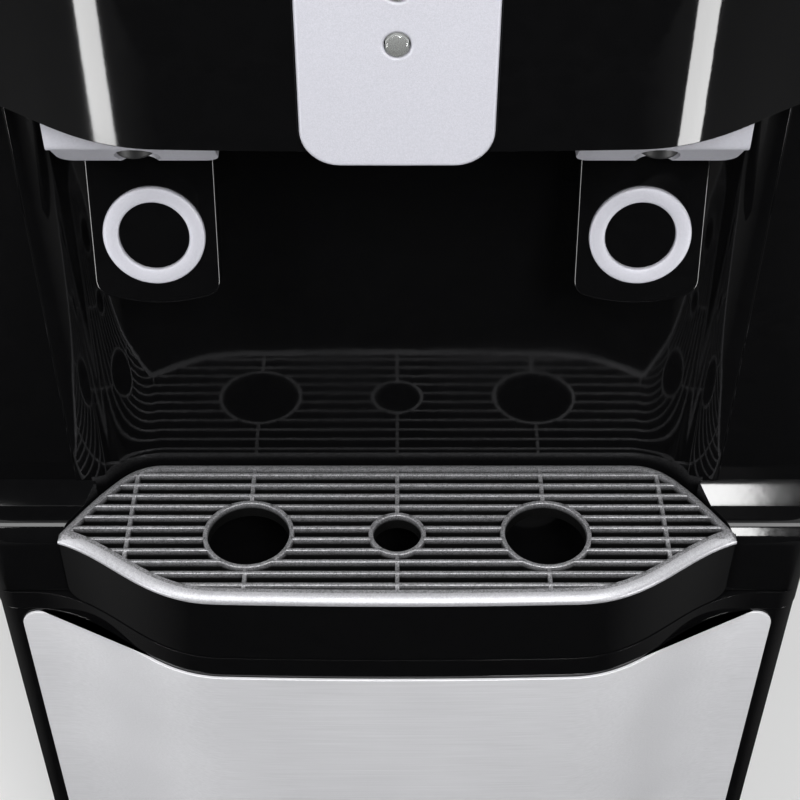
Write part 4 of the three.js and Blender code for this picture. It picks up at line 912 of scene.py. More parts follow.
# %% [markdown]
# The rim starts as a lid: the tray's outline is lofted inwards while it climbs the outer
# round. The opening is then cut out of it, wider from the edge in front than behind,
# because the front rim is almost twice as wide, and its sharp edges are bevelled. Only
# what slopes outwards in front of the two tips is bright silver. The rest carries the
# grille's grey, so the mesh is split along a line through the tips.

# %% Rim and rings
rim_front_round = 4.4 * millimetre
rim_back_round = 2.6 * millimetre
rim_drop = 2.2 * millimetre
rim_inner_round = 0.6 * millimetre


def make_rim():
    low = grille_z - rim_height
    rows = [(0, low)]
    for i in range(13):
        angle = math.pi / 2 * i / 12
        rows.append((1 - math.cos(angle), grille_z - rim_drop * (1 - math.sin(angle))))
    rings = []
    for share, z in rows:
        plan = offset(tray_plan(), lambda start, end: -share * (
            rim_front_round if is_tray_front(start, end) else rim_back_round))
        rings.append([(x, y + plan_y, z) for x, y in plan])
    rim = loft("rim", rings)
    cut(rim, prism(tray_plan_inside(rim_front, rim_back), low - overrun, grille_z + overrun))
    clean(rim, 0.02)
    shade(rim)
    round_edges(rim, rim_inner_round, 4)
    bake(rim)
    tip_y = plan_y + max(tray_plan(), key=lambda point: point[0])[1]
    bm = bmesh.new()
    bm.from_mesh(rim.data)
    bmesh.ops.bisect_plane(bm, geom=bm.verts[:] + bm.edges[:] + bm.faces[:], plane_co=(0, tip_y, 0),
                           plane_no=(0, 1, 0))
    for face in bm.faces:
        middle = face.calc_center_median()
        outward = Vector((middle.x, middle.y - tip_y)).normalized()
        silver = middle.y < tip_y and face.normal.xy.dot(outward) > 0.04
        face.material_index = 0 if silver else 1
    bm.to_mesh(rim.data)
    bm.free()
    rim.data.materials.append(rim_paint)
    # The grille's grey carries the painted shade, so the rim's lower grey flanks darken too.
    rim.data.materials.append(finishes["grey_sparkle"])
    return rim


def absorb(obj, *others):
    """Adds other meshes and their materials to one object."""
    bm = bmesh.new()
    bm.from_mesh(obj.data)
    for other in others:
        first_slot = len(obj.data.materials)
        known = len(bm.faces)
        bm.from_mesh(other.data)
        bm.faces.ensure_lookup_table()
        for face in bm.faces[known:]:
            face.material_index += first_slot
        for material in other.data.materials:
            obj.data.materials.append(material)
        bpy.data.objects.remove(other)
    bm.to_mesh(obj.data)
    bm.free()
    return obj


def make_grille():
    rim = make_rim()
    hoops = [turned("hoop", ring_profile(radius), x, -ring_reach, 72) for x, radius in ring_places]
    for hoop in hoops:
        hoop.data.materials.append(finishes["grey_sparkle"])
    grille = absorb(field, rim, *hoops)
    shade(grille, 40)
    grille.name = "drip_grille_finished"
    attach(grille, body_of["drip_grille"])
    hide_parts("drip_grille")
    return grille


grille = make_grille()
print("grille:", len(grille.data.polygons), "faces")

# %% [markdown]
# The tray is a drawer. Its front wall is the bow-shaped apron that shows under the rim,
# with rounded lower corners, and the rest is a basin. It is made as it is moulded: the
# plan raised to the apron's height, trimmed by its front view, then hollowed.

# %% Drip tray
tray_inset = 0.4 * millimetre
tray_wall = 2 * millimetre
tray_floor = 2.5 * millimetre
apron_drop = 34 * millimetre
apron_corner = 6 * millimetre


def make_tray():
    top = grille_z - rim_height - seat
    low = grille_z - apron_drop
    tray = prism(grown(tray_plan(), -tray_inset), low, top)
    side = tray_half_width - tray_inset
    face = rounded_rectangle(-side, side, low, top + 2 * apron_corner, apron_corner)
    common(tray, front_prism(face, -bow_reach - overrun, overrun))
    hollow = tray_plan_inside(tray_inset + tray_wall, tray_inset + tray_wall)
    cut(tray, prism(hollow, low + tray_floor, top + overrun))
    return show(tray, "drip_tray", 0.5 * millimetre)


tray = make_tray()

# %% [markdown]
# The bay is the machine's showpiece. Its liner follows the tray's outline round the back,
# leans back two degrees as it rises, and ends at the columns. Because it is one smooth
# sheet it is lofted between three levels, an outer path and an inner path at each.

# %% Niche liner
wall_gap = 1.2 * millimetre
liner_wall = 2.5 * millimetre
liner_drop = 33 * millimetre
niche_height = 205 * millimetre
column_reach = 16.2 * millimetre
mouth_inset = 7.5 * millimetre
mouth_flare = 4 * millimetre
lean_share = math.tan(math.radians(2)) / (column_reach + wall_gap)


def leaned(x, y, z):
    from_front = y + column_reach
    rise = max(z - grille_z, 0)
    if from_front > 0:
        y = from_front * (1 + lean_share * rise) - column_reach
    return (x, y + plan_y, z)


def niche_path(distance):
    """The wall's line from the right column round the back to the left one."""
    wall = grown(tray_plan(), wall_gap + distance)
    kept = (point for point in wall if point[0] > 0 and point[1] > -column_reach + mouth_flare)
    right = [(tray_half_width - mouth_inset + distance, -column_reach)] + sorted(kept, key=lambda p: -p[0])
    return right + mirrored(right)


def make_liner():
    path = niche_path(liner_wall) + list(reversed(niche_path(0)))
    levels = (grille_z - liner_drop, grille_z, grille_z + niche_height - seat)
    liner = loft("liner", [[leaned(x, y, z) for x, y in path] for z in levels])
    return show(liner, "niche_liner", 0.4 * millimetre, angle=40)


liner = make_liner()

# %% [markdown]
# Many pieces start from a plain profile, and a plain profile has corners that no moulded
# or turned part has. One helper replaces each corner by a small curve: it starts and ends
# a short way along the two edges and bends towards the corner. Points on the axis stay,
# because they are the middle of a flat end and not corners.

# %% Filleted profiles
def filleted(points, radius, steps=4):
    soft = []
    count = len(points)
    for i in range(count):
        corner = Vector(points[i])
        if corner.x == 0:
            soft.append(tuple(corner))
            continue
        before = Vector(points[i - 1]) - corner
        after = Vector(points[(i + 1) % count]) - corner
        start = corner + before.normalized() * min(radius, 0.4 * before.length)
        end = corner + after.normalized() * min(radius, 0.4 * after.length)
        for k in range(steps + 1):
            t = k / steps
            soft.append(tuple(start * (1 - t) ** 2 + corner * 2 * t * (1 - t) + end * t**2))
    return soft


def scaled(points):
    """Millimetres to metres."""
    return [tuple(value * millimetre for value in point) for point in points]


print("a square fillets to", len(filleted([(1, 1), (2, 1), (2, 2), (1, 2)], 0.1)), "points")

# %% [markdown]
# The front frame holds it all: two columns, the coves that turn them into the shelf beside
# the tray, the rounded shoulders in front, and the bowed skirt under the tray. Its side
# view is one outline with two arcs, swept across the machine and trimmed by the plan.
# The drawer, the mouth of the tray and the bay are then cut out.

# %% Front frame
frame_back = 4 * millimetre
cove_reach = 7.2 * millimetre
cove_hollow = 0.4 * millimetre
shoulder_reach = 5.2 * millimetre
shoulder_round = 2.6 * millimetre
ledge_thickness = 3 * millimetre
skirt_low = casing_low.z
frame_top = casing_high.z
pocket_low = grille_z - apron_drop - seam
pocket_high = grille_z - ledge_thickness


def niche_tool(distance, front, low, high):
    path = niche_path(distance)
    right, left = path[0], path[-1]
    outline = [(right[0], front)] + path + [(left[0], front)]
    levels = (low, grille_z, high) if low < grille_z - seat else (grille_z, high)
    return loft("tool", [[leaned(x, y, z) for x, y in outline] for z in levels])


def front_waste():
    """All that lies in front of the columns, coves and shoulders, seen from the side."""
    face = -side_reach - 0.02 * millimetre
    middle = cove_reach / 2 - cove_hollow
    outline = [(-column_reach, frame_top + overrun)]
    outline += bezier([(-column_reach, grille_z + cove_reach), (-column_reach - middle, grille_z + middle),
                       (-column_reach - cove_reach, grille_z)], 10)
    edge = [(face + 4 * shoulder_reach, grille_z), (face + shoulder_reach, grille_z),
            (face, grille_z - shoulder_reach),
            (face, pocket_low), (face + 4 * shoulder_reach, pocket_low)]
    outline += [point for point in filleted(edge, shoulder_round,
                                            8) if point[1] > pocket_low and point[0] < face + 2 * shoulder_reach]
    outline += [(face, pocket_low), (-bow_reach - overrun, pocket_low),
                (-bow_reach - overrun, frame_top + overrun)]
    return side_prism(tidy(outline), -half_width - overrun, half_width + overrun)


def make_front_frame():
    body = prism(front_plan(-frame_back), skirt_low, frame_top)
    cut(body, front_waste())
    side = tray_half_width + seam
    pocket = rounded_rectangle(-side, side, pocket_low, pocket_high + 2 * apron_corner, apron_corner)
    drawer = front_prism(pocket, -bow_reach - overrun, overrun)
    common(drawer, slab(-half_width, half_width, -bow_reach - 2 * overrun, 2 * overrun,
                        pocket_low - overrun, pocket_high))
    mouth_plan = grown(tray_plan(), seam)
    mouth = prism(mouth_plan, pocket_high - overrun / 2, grille_z + cove_reach + overrun)
    coves = slab(-half_width, half_width, -bow_reach, -column_reach - seat, grille_z - seat,
                 grille_z + cove_reach)
    cut(coves, prism(mouth_plan, grille_z - overrun, grille_z + cove_reach + 2 * overrun))
    bay = niche_tool(liner_wall + seat, -bow_reach - overrun, grille_z, frame_top + overrun)
    cut(bay, coves)
    foot = niche_tool(liner_wall + 1.1 * seat, -column_reach - seat, pocket_high - seat, grille_z + seat)
    cut(body, drawer)
    cut(body, mouth)
    cut(body, bay)
    cut(body, foot)
    weld(body, 0.06 * millimetre)
    return show(body, "front_frame", 0.5 * millimetre)


make_front_frame()

# %% [markdown]
# Hood, bezel, door and door plate are skins of the same bow. A skin is the space between
# two offsets of the plan, trimmed by a rounded rectangle seen from the front. The bezel's
# lower end is the silver shape at the top of the photograph.

# %% Hood, bezel and lamps
hood_low, hood_high = (corner.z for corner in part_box("hood"))
bezel_low, bezel_high = (corner.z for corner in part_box("control_bezel"))
bezel_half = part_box("control_bezel")[1].x
bezel_corner = 11 * millimetre
bezel_proud = 1.6 * millimetre
bezel_inset = 2 * millimetre
hood_wall = 4 * millimetre


def front_skin(inner, outer, face, back=-frame_back):
    """The space between two offsets of the bow front, inside an outline seen from the front."""
    low = min(z for _, z in face)
    high = max(z for _, z in face)
    skin = prism(front_plan(back, -outer), low - overrun, high + overrun)
    cut(skin, prism(front_plan(back, -inner), low - 2 * overrun, high + 2 * overrun))
    return common(skin, front_prism(face, -bow_reach - overrun, -side_reach + corner_radius))


def bezel_face(clearance):
    side = bezel_half + clearance
    return rounded_rectangle(-side, side, bezel_low - clearance, bezel_high + clearance,
                             bezel_corner + clearance)


def round_tool(radius, x, z, front, back, sides=64):
    return front_prism(circle(radius, x, z, sides), front, back)


def make_hood():
    hood = prism(front_plan(-frame_back), hood_low, hood_high)
    room = prism(front_plan(overrun, hood_wall), hood_low - overrun, hood_high - hood_wall)
    cut(hood, room)
    cut(hood, front_skin(-bezel_inset - seat, overrun, bezel_face(seat)))
    return show(hood, "hood", 0.6 * millimetre)


def make_bezel():
    bezel = front_skin(-bezel_inset, bezel_proud, bezel_face(0))
    for name in ("power", "heating", "cooling"):
        low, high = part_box(f"indicator_lens_{name}")
        radius = (high.x - low.x) / 2 + seat
        cut(bezel, round_tool(radius, 0, (low.z + high.z) / 2, -bow_reach - overrun, -bow_reach + overrun))
    return show(bezel, "control_bezel", 1.1 * millimetre, 5)


def turned_forward(name, profile, x, z, sides=64):
    """A profile of radius and depth turned about an axis that points backwards."""
    obj = turned(name, [(r, y) for r, y in profile], 0, 0, sides)
    obj.data.transform(Matrix.Translation((0, -plan_y, 0)))
    obj.data.transform(Matrix(((1, 0, 0, 0), (0, 0, 1, 0), (0, -1, 0, 0), (0, 0, 0, 1))))
    obj.data.transform(Matrix.Translation((x, plan_y, z)))
    return obj


def make_lens_piece(name):
    low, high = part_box(name)
    radius = (high.x - low.x) / 2
    dome = 0.9 * millimetre
    front = low.y - plan_y
    profile = [(radius * math.cos(math.pi / 2 * i / 8), front + dome - dome * math.sin(math.pi / 2 * i / 8))
               for i in range(8)]
    profile += [(0, front), (0, high.y - plan_y), (radius, high.y - plan_y)]
    lens = turned_forward(name, profile, 0, (low.z + high.z) / 2, 48)
    return show(lens, name, 0, cleaned=False)


hood = make_hood()
bezel = make_bezel()
lamps = [make_lens_piece(f"indicator_lens_{name}") for name in ("power", "heating", "cooling")]

# %% [markdown]
# Each tap is a silver nose under the bay's ceiling. Its side view slopes up to the front,
# its front view has rounded lower corners, and two ears behind it hold the lever's pin.
# The black nozzle stands in a round socket of the nose.

# %% Taps
lever_offset = 79 * millimetre
pivot_reach = 8 * millimetre
pivot_height = 194 * millimetre
pin_radius = 2 * millimetre
tap_half_width = 24.6 * millimetre
tap_front_reach = 50 * millimetre
tap_back_reach = 20.5 * millimetre
tap_low_reach = 34 * millimetre
tap_low = 164.7 * millimetre
tap_nose = 180.7 * millimetre
tap_ear = 3 * millimetre
ear_low = 187 * millimetre
ear_back_reach = 1 * millimetre
tap_corner = 4.5 * millimetre
nozzle_reach = 38 * millimetre
nozzle_radius = 6.5 * millimetre
nozzle_bore = 4 * millimetre
nozzle_low = 168.7 * millimetre
nozzle_depth = 20 * millimetre
nozzle_trim = 3.2 * millimetre


def axle(radius, left, right, y, z, sides=48):
    return side_prism(circle(radius, y, z, sides), left, right)


def make_tap(side, x):
    top = grille_z + niche_height - seat
    nose_z = grille_z + tap_nose
    low = grille_z + tap_low
    nose = [(-tap_back_reach, top), (-tap_front_reach, top)]
    nose += bezier([(-tap_front_reach, nose_z), (-tap_front_reach, nose_z - tap_ear),
                    (-tap_front_reach + tap_ear, nose_z - tap_ear)], 6)
    nose += [(-tap_low_reach, low), (-tap_back_reach, low)]
    body = side_prism(nose, x - tap_half_width, x + tap_half_width)
    face = rounded_rectangle(x - tap_half_width, x + tap_half_width, low, top + 2 * tap_corner, tap_corner)
    common(body, front_prism(face, -tap_front_reach - overrun, overrun))
    for way in (-1, 1):
        left = x + way * (tap_half_width - tap_ear / 2) - tap_ear / 2
        join(body, slab(left, left + tap_ear, -tap_back_reach - tap_ear, -ear_back_reach,
                        grille_z + ear_low, top))
    cut(body, axle(pin_radius + seat, x - half_width, x + half_width, -pivot_reach,
                   grille_z + pivot_height))
    socket_high = grille_z + nozzle_low + nozzle_depth + seat
    cut(body, prism(circle(nozzle_radius + seat, x, -nozzle_reach, 64), low - overrun, socket_high))
    return show(body, f"tap_body_{side}", 0.7 * millimetre, 4)


def make_nozzle(side, x):
    low = grille_z + nozzle_low + nozzle_trim
    high = grille_z + nozzle_low + nozzle_depth
    profile = filleted([(nozzle_bore, low), (nozzle_radius - seat, low), (nozzle_radius, low + 2 * seat),
                        (nozzle_radius, high), (nozzle_bore, high)], 0.4 * millimetre)
    nozzle = turned("nozzle", profile, x, -nozzle_reach, 64)
    return show(nozzle, f"tap_nozzle_{side}", 0, cleaned=False)


def make_lever_pin(side, x):
    reach = tap_half_width - seat
    pin = axle(pin_radius, x - reach, x + reach, -pivot_reach, grille_z + pivot_height)
    return show(pin, f"lever_pin_{side}", 0.3 * millimetre)


sides = (("left", -lever_offset), ("right", lever_offset))
for side, x in sides:
    make_tap(side, x)
    make_nozzle(side, x)
    make_lever_pin(side, x)

# %% [markdown]
# A lever is a flat plate with a curved lower edge, thickened to a barrel at its head. It
# hangs fifteen degrees forward, so it is drawn upright about its pin and turned into place.
# Its edges have a bevel of nearly a millimetre, and those bevels are the two bright lines
# that draw each lever against the black wall. The ring sits in a groove of its face.

# %% Levers and their rings
lever_width = 41.5 * millimetre
lever_thickness = 6.5 * millimetre
lever_length = 90 * millimetre
lever_bevel = 0.9 * millimetre
lever_corner = 4.5 * millimetre
lever_sag = 4 * millimetre
lever_head = 5 * millimetre
lever_tilt = 15
lever_drop = 65.2 * millimetre
badge_outer = 16.65 * millimetre
badge_inner = 11.5 * millimetre
badge_depth = 1.4 * millimetre
badge_proud = 1 * millimetre


def hung(obj, x):
    """Moves a piece drawn about the lever's pin into place."""
    pin = Vector((x, plan_y - pivot_reach, grille_z + pivot_height))
    tilt = Matrix.Rotation(math.radians(-lever_tilt), 4, "X")
    obj.data.transform(Matrix.Translation(pin) @ tilt @ Matrix.Translation((0, -plan_y, 0)))
    return obj


def lever_outline():
    side = lever_width / 2 - lever_bevel
    low = -lever_length + lever_bevel
    shoulder = low + lever_sag - lever_sag / 4
    inner = side - lever_corner
    left = bezier([(-side, low + lever_sag + lever_corner), (-side, low + lever_sag), (-inner, shoulder)],
                  10)
    edge = bezier([(-inner, shoulder), (0, low - lever_sag / 3), (inner, shoulder)], 24)
    right = bezier([(inner, shoulder), (side, low + lever_sag), (side, low + lever_sag + lever_corner)], 10)
    return grown(tidy([(-side, -lever_head)] + left + edge + right + [(side, -lever_head)]), lever_bevel)


def make_lever(side, x):
    face = -lever_thickness / 2
    plate = front_prism(lever_outline(), face, -face)
    half = lever_width / 2
    shade(plate)
    round_edges(plate, lever_bevel, 5)
    bake(plate)
    join(plate, axle(lever_head, -half, half, 0, 0, 64))
    join(plate, slab(-half + lever_bevel, half - lever_bevel, face, -face, -lever_head - lever_sag, 0))
    groove = front_prism(circle(badge_outer + seat, 0, -lever_drop), face - overrun, face + badge_depth)
    cut(groove, front_prism(circle(badge_inner - seat, 0, -lever_drop), face - 2 * overrun, face + overrun))
    cut(plate, groove)
    cut(plate, axle(pin_radius + seat, -lever_width, lever_width, 0, 0))
    hung(plate, x)
    return show(plate, f"lever_{side}", 0.15 * millimetre, 2, 40)


def badge_profile(steps=24):
    edge = badge_proud / 3
    profile = [(badge_outer, edge - badge_depth), (badge_inner, edge - badge_depth)]
    for i in range(steps + 1):
        share = i / steps
        height = edge + (badge_proud + seat - edge) * math.sin(math.pi * share) ** 0.3
        profile.append((badge_inner + (badge_outer - badge_inner) * share, height))
    return profile


def make_badge(side, x):
    ring = turned("badge", badge_profile(), 0, 0, 128)
    forward = Matrix.Rotation(math.pi / 2, 4, "X")
    ring.data.transform(forward @ Matrix.Translation((0, -plan_y, 0)))
    ring.data.transform(Matrix.Translation((0, plan_y - lever_thickness / 2, -lever_drop)))
    hung(ring, x)
    return show(ring, f"lever_ring_{side}", 0, angle=50, cleaned=False)


for side, x in sides:
    make_lever(side, x)
    make_badge(side, x)

# %% [markdown]
# The ceiling closes the bay on top. The lid of the machine is one moulding with a rounded
# upper edge and a round mouth, and the bottle's collar hangs in it like a funnel. The lid
# is a loft of shrinking outlines, the collar and its spike are turned.

# %% Ceiling, lid and collar
ceiling_back = 12 * millimetre
ceiling_thickness = 3 * millimetre
ceiling_tongue = 112 * millimetre
hose_radius = 4 * millimetre
cover_round = 6 * millimetre
cover_wall = 3 * millimetre
cover_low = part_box("top_cover")[0].z
cover_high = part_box("top_cover")[1].z
cabinet_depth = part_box("top_cover")[1].y - plan_y
tank_reach = 95 * millimetre
collar_hole = 75.5 * millimetre


def make_ceiling():
    low = grille_z + niche_height
    plate = prism(front_plan(ceiling_back, hood_wall + seat), low, low + ceiling_thickness)
    for way in (-1, 1):
        pipe = circle(hose_radius + 1.5 * seat, way * lever_offset, -nozzle_reach, 48)
        cut(plate, prism(pipe, low - overrun, low + overrun))
        near, far = sorted((way * ceiling_tongue, way * half_width))
        cut(plate, slab(near, far, -frame_back - seat, ceiling_back + overrun, low - overrun,
                        low + overrun))
    return show(plate, "niche_ceiling", 0.4 * millimetre)


def make_cover():
    plan = front_plan(cabinet_depth)
    rows = [(0, cover_low), (0, cover_high - cover_round)]
    for i in range(1, 9):
        angle = math.pi / 2 * i / 8
        rows.append((cover_round * (1 - math.cos(angle)), cover_high - cover_round * (1 - math.sin(angle))))
    rings = [[(x, y + plan_y, z) for x, y in grown(plan, -inset)] for inset, z in rows]
    lid = loft("lid", rings)
    cut(lid, prism(grown(plan, -cover_wall), cover_low - overrun,
                   cover_high - cover_wall - cover_round / 2))
    cut(lid, prism(circle(collar_hole, 0, tank_reach, 160), cover_low - overrun, cover_high + overrun))
    return show(lid, "top_cover", 0.5 * millimetre)


def make_collar():
    base = cover_high / millimetre + 0.3
    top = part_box("bottle_collar")[1].z / millimetre
    cup = cover_high / millimetre - 32
    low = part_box("bottle_collar")[0].z / millimetre
    inner = 72.2
    corners = scaled([
        (26, low), (35, low), (35, cup - 6), (55, cup), (inner, base - 3), (inner, base), (88, base),
        (88, top - 6), (85, top), (78, top), (inner - 6, base - 3), (52, cup + 3), (32, cup - 3),
        (32, low + 3), (26, low + 3),
    ])
    collar = turned("collar", filleted(corners, 2 * millimetre), 0, tank_reach, 160)
    return show(collar, "bottle_collar", 0, cleaned=False)


def make_spike():
    low, high = (corner.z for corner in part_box("bottle_spike"))
    flange = low + 3 * millimetre
    profile = [(0.005, low), (0.0317, low), (0.0317, flange), (0.008, flange), (0.008, high - 0.008),
               (0.0053, high), (0.005, high)]
    spike = turned("spike", filleted(profile, 0.6 * millimetre), 0, tank_reach, 96)
    for i in range(4):
        angle = (i + 0.48) * math.pi / 2
        x, y = 0.0177 * math.cos(angle), tank_reach + 0.0177 * math.sin(angle)
        cut(spike, prism(circle(0.0044, x, y, 40), low - overrun, flange + overrun))
    return show(spike, "bottle_spike", 0, cleaned=False)


make_ceiling()
make_cover()
make_collar()
make_spike()

# %% [markdown]
# The lower front is a black plinth and a tall door. The door's shell carries a brushed
# steel plate that follows the bow, and its left edge has a notch for the fingers. Both are
# skins of the same plan, so the plate's face stays a fraction of a millimetre proud.

# %% Plinth and door
door_low, door_high = (corner.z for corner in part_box("door_shell"))
plinth_low, plinth_high = (corner.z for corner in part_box("plinth"))
pan_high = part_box("base_pan")[1].z
door_wall = 4 * millimetre
door_back_reach = 9 * millimetre
door_edge = 13 * millimetre
plate_drop = 4 * millimetre
plate_lip = 1.4 * millimetre
plate_side = 10 * millimetre
plate_corner = 7 * millimetre
plate_thickness = 1.2 * millimetre
plate_proud = 0.8 * millimetre
hinge_offset = 151 * millimetre
hinge_reach = 22 * millimetre
hinge_radius = 3 * millimetre
hinge_depth = 8 * millimetre
grip_height = 110 * millimetre
grip_top = 40 * millimetre
grip_depth = 12 * millimetre
grip_radius = 7 * millimetre


def hinge_bore(low, high):
    return prism(circle(hinge_radius + seat, hinge_offset, -hinge_reach, 48), low, high)


def plate_face(clearance):
    side = half_width - plate_side + clearance
    return rounded_rectangle(-side, side, door_low + plate_drop - clearance,
                             door_high - plate_lip + clearance, plate_corner + clearance)


def make_plinth():
    plinth = prism(front_plan(-frame_back), plinth_low, plinth_high)
    cut(plinth, prism(front_plan(overrun, door_wall), plinth_low - overrun, pan_high + seat))
    cut(plinth, hinge_bore(plinth_high - hinge_depth, plinth_high + overrun))
    return show(plinth, "plinth", 0.6 * millimetre)


def make_door_shell():
    back = -door_back_reach
    shell = prism(front_plan(back, seat), door_low, door_high)
    side = half_width - door_edge
    low, high = door_low + door_edge, door_high - door_edge
    room = prism(front_plan(back + overrun, door_wall + seat), low, high)
    common(room, slab(-side, side, -bow_reach, back + 2 * overrun, low - overrun, high + overrun))
    cut(shell, room)
    cut(shell, front_skin(-plate_thickness + plate_proud - seat, overrun, plate_face(seat)))
    cut(shell, hinge_bore(door_high - hinge_depth, door_high + overrun))
    cut(shell, hinge_bore(door_low - overrun, door_low + hinge_depth))
    grip_high = door_high - grip_top
    grip_y = -door_back_reach - grip_radius / 2
    cut(shell, slab(-half_width - overrun, -half_width + grip_depth, grip_y - grip_radius,
                    grip_y + 2 * grip_radius, grip_high - grip_height, grip_high))
    return show(shell, "door_shell", 0.6 * millimetre)


def make_door_plate():
    plate = front_skin(-plate_thickness + plate_proud, plate_proud, plate_face(0))
    return show(plate, "door_plate", 0.25 * millimetre, 2)


make_plinth()
make_door_shell()
make_door_plate()

# %% [markdown]
# Pipes, hoses and the condenser are tubes along a route. A Catmull-Rom curve passes through
# every point of its route, and the centripetal kind doesn't overshoot where points stand
# close together. Each ring of the tube is turned from the last one by the smallest turn,
# so the tube never twists, and both ends are closed with a small dome.

# %% Tubes along a route
def smooth_route(points, steps=6):
    """A centripetal Catmull-Rom curve through the points."""
    points = [Vector(point) for point in points]
    ends = [2 * points[0] - points[1]] + points + [2 * points[-1] - points[-2]]
    route = []
    for a, b, c, d in zip(ends, ends[1:], ends[2:], ends[3:]):
        ta, tb = 0, (b - a).length ** 0.5
        tc = tb + (c - b).length ** 0.5
        td = tc + (d - c).length ** 0.5
        for i in range(steps):
            t = tb + (tc - tb) * i / steps
            ab = a.lerp(b, (t - ta) / (tb - ta))
            bc = b.lerp(c, (t - tb) / (tc - tb))
            cd = c.lerp(d, (t - tc) / (td - tc))
            route.append(ab.lerp(bc, (t - ta) / (tc - ta)).lerp(bc.lerp(cd, (t - tb) / (td - tb)),
                (t - tb) / (tc - tb)))
    return route + [points[-1]]


def tube(name, route, radius, sides=16):
    way = (route[1] - route[0]).normalized()
    across = way.orthogonal().normalized()
    rings = []
    for i, point in enumerate(route):
        ahead = (route[min(i + 1, len(route) - 1)] - route[max(i - 1, 0)]).normalized()
        across.rotate(way.rotation_difference(ahead))
        way = ahead
        other = way.cross(across)
        sizes = [(0, 1)]
        if i == 0:
            sizes = [(-0.3, 0.6), (-0.1, 0.9), (0, 1)]
        elif i == len(route) - 1:
            sizes = [(0, 1), (0.1, 0.9), (0.3, 0.6)]
        for reach, share in sizes:
            ring = []
            for k in range(sides):
                angle = 2 * math.pi * k / sides
                spoke = across * math.cos(angle) + other * math.sin(angle)
                ring.append(point + way * (min(reach, 0.1) * radius) + spoke * (radius * share))
            rings.append(ring)
    return loft(name, rings)


def in_plan(points):
    """Millimetres in plan coordinates to metres in the frame."""
    return [(x * millimetre, y * millimetre + plan_y, z * millimetre) for x, y, z in points]


print("route of three points:", len(smooth_route([(0, 0, 0), (1, 0, 0), (1, 1, 0)])), "rings")

# %% [markdown]
# The sides are sheet steel with a powder coat, folded twice at each end. A folded sheet is
# an outline in plan, one thickness of metal wide, raised to its height. Every fold of a
# real sheet has a radius, so the outline goes through the same helper as the turned
# profiles.

# %% Side sheets
sheet = 1.2 * millimetre
sheet_flange = 13 * millimetre


def make_side_panel(side, way):
    low, high = (corner.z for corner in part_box(f"side_panel_{side}"))
    outer = half_width
    inner = half_width - sheet
    lip = half_width - sheet_flange
    front = -frame_back + seam
    back = cabinet_depth
    fold = [(lip, front), (outer, front), (outer, back), (lip, back), (lip, back - sheet),
            (inner, back - sheet), (inner, front + sheet), (lip, front + sheet)]
    outline = [(way * x, y) for x, y in filleted(fold, 2.2 * millimetre, 5)]
    return show(prism(outline, low, high), f"side_panel_{side}", 0.2 * millimetre, 2)


make_side_panel("left", -1)
make_side_panel("right", 1)

# %% [markdown]
# The back sheet is galvanised. Its openings are cut first: seven louvres, the window of
# the two switches and that of the inlet. Four short studs carry the condenser. The hood
# over each louvre and the screws along the edges repeat, so they come from Geometry Nodes
# in the next two cells.

# %% Back sheet
louvre_count = 7
louvre_width = 90 * millimetre
louvre_height = 5 * millimetre
louvre_pitch = 11 * millimetre
louvre_low = hood_high - 97 * millimetre
condenser_gap = 8 * millimetre
condenser_radius = 2.4 * millimetre
condenser_half = 118 * millimetre
condenser_low = 282 * millimetre
condenser_pitch = 58 * millimetre
condenser_passes = 9


def window(node, side, tall):
    """An opening in the back sheet, centred on a fitting."""
    low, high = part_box(node)
    x, z = (low.x + high.x) / 2, (low.z + high.z) / 2
    face = rounded_rectangle(x - side, x + side, z - tall, z + tall, 1.5 * millimetre, 5)
    return front_prism(face, cabinet_depth - overrun, cabinet_depth + overrun)


def make_back_panel():
    low, high = (corner.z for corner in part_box("back_panel"))
    side = half_width - sheet_flange - seat
    panel = front_prism(rounded_rectangle(-side, side, low, high, 2 * millimetre, 4),
                        cabinet_depth - sheet, cabinet_depth)
    cut(panel, window("switch_frame", 20.8 * millimetre, 12 * millimetre))
    cut(panel, window("power_inlet", 13.8 * millimetre, 10.3 * millimetre))
    for i in range(louvre_count):
        z = louvre_low + i * louvre_pitch
        slot = rounded_rectangle(-louvre_width / 2, louvre_width / 2, z, z + louvre_height,
                                 2.2 * millimetre, 6)
        cut(panel, front_prism(slot, cabinet_depth - overrun, cabinet_depth + overrun))
    reach = cabinet_depth + condenser_gap - condenser_radius - seat
    for x in (-condenser_half / 2, condenser_half / 2):
        for row in (1, condenser_passes - 2):
            z = condenser_low + row * condenser_pitch
            join(panel, round_tool(2 * condenser_radius, x, z, cabinet_depth - sheet / 2, reach, 48))
    return show(panel, "back_panel", 0.2 * millimetre, 2)


make_back_panel()

# %% [markdown]
# A louvre's hood is a strip of sheet bent through a quarter turn. In the tree an arc is
# the path and a flat rectangle the section, so the strip keeps its thickness round the
# bend. The arc is drawn in the XY plane and two quarter turns stand it up across the slot.

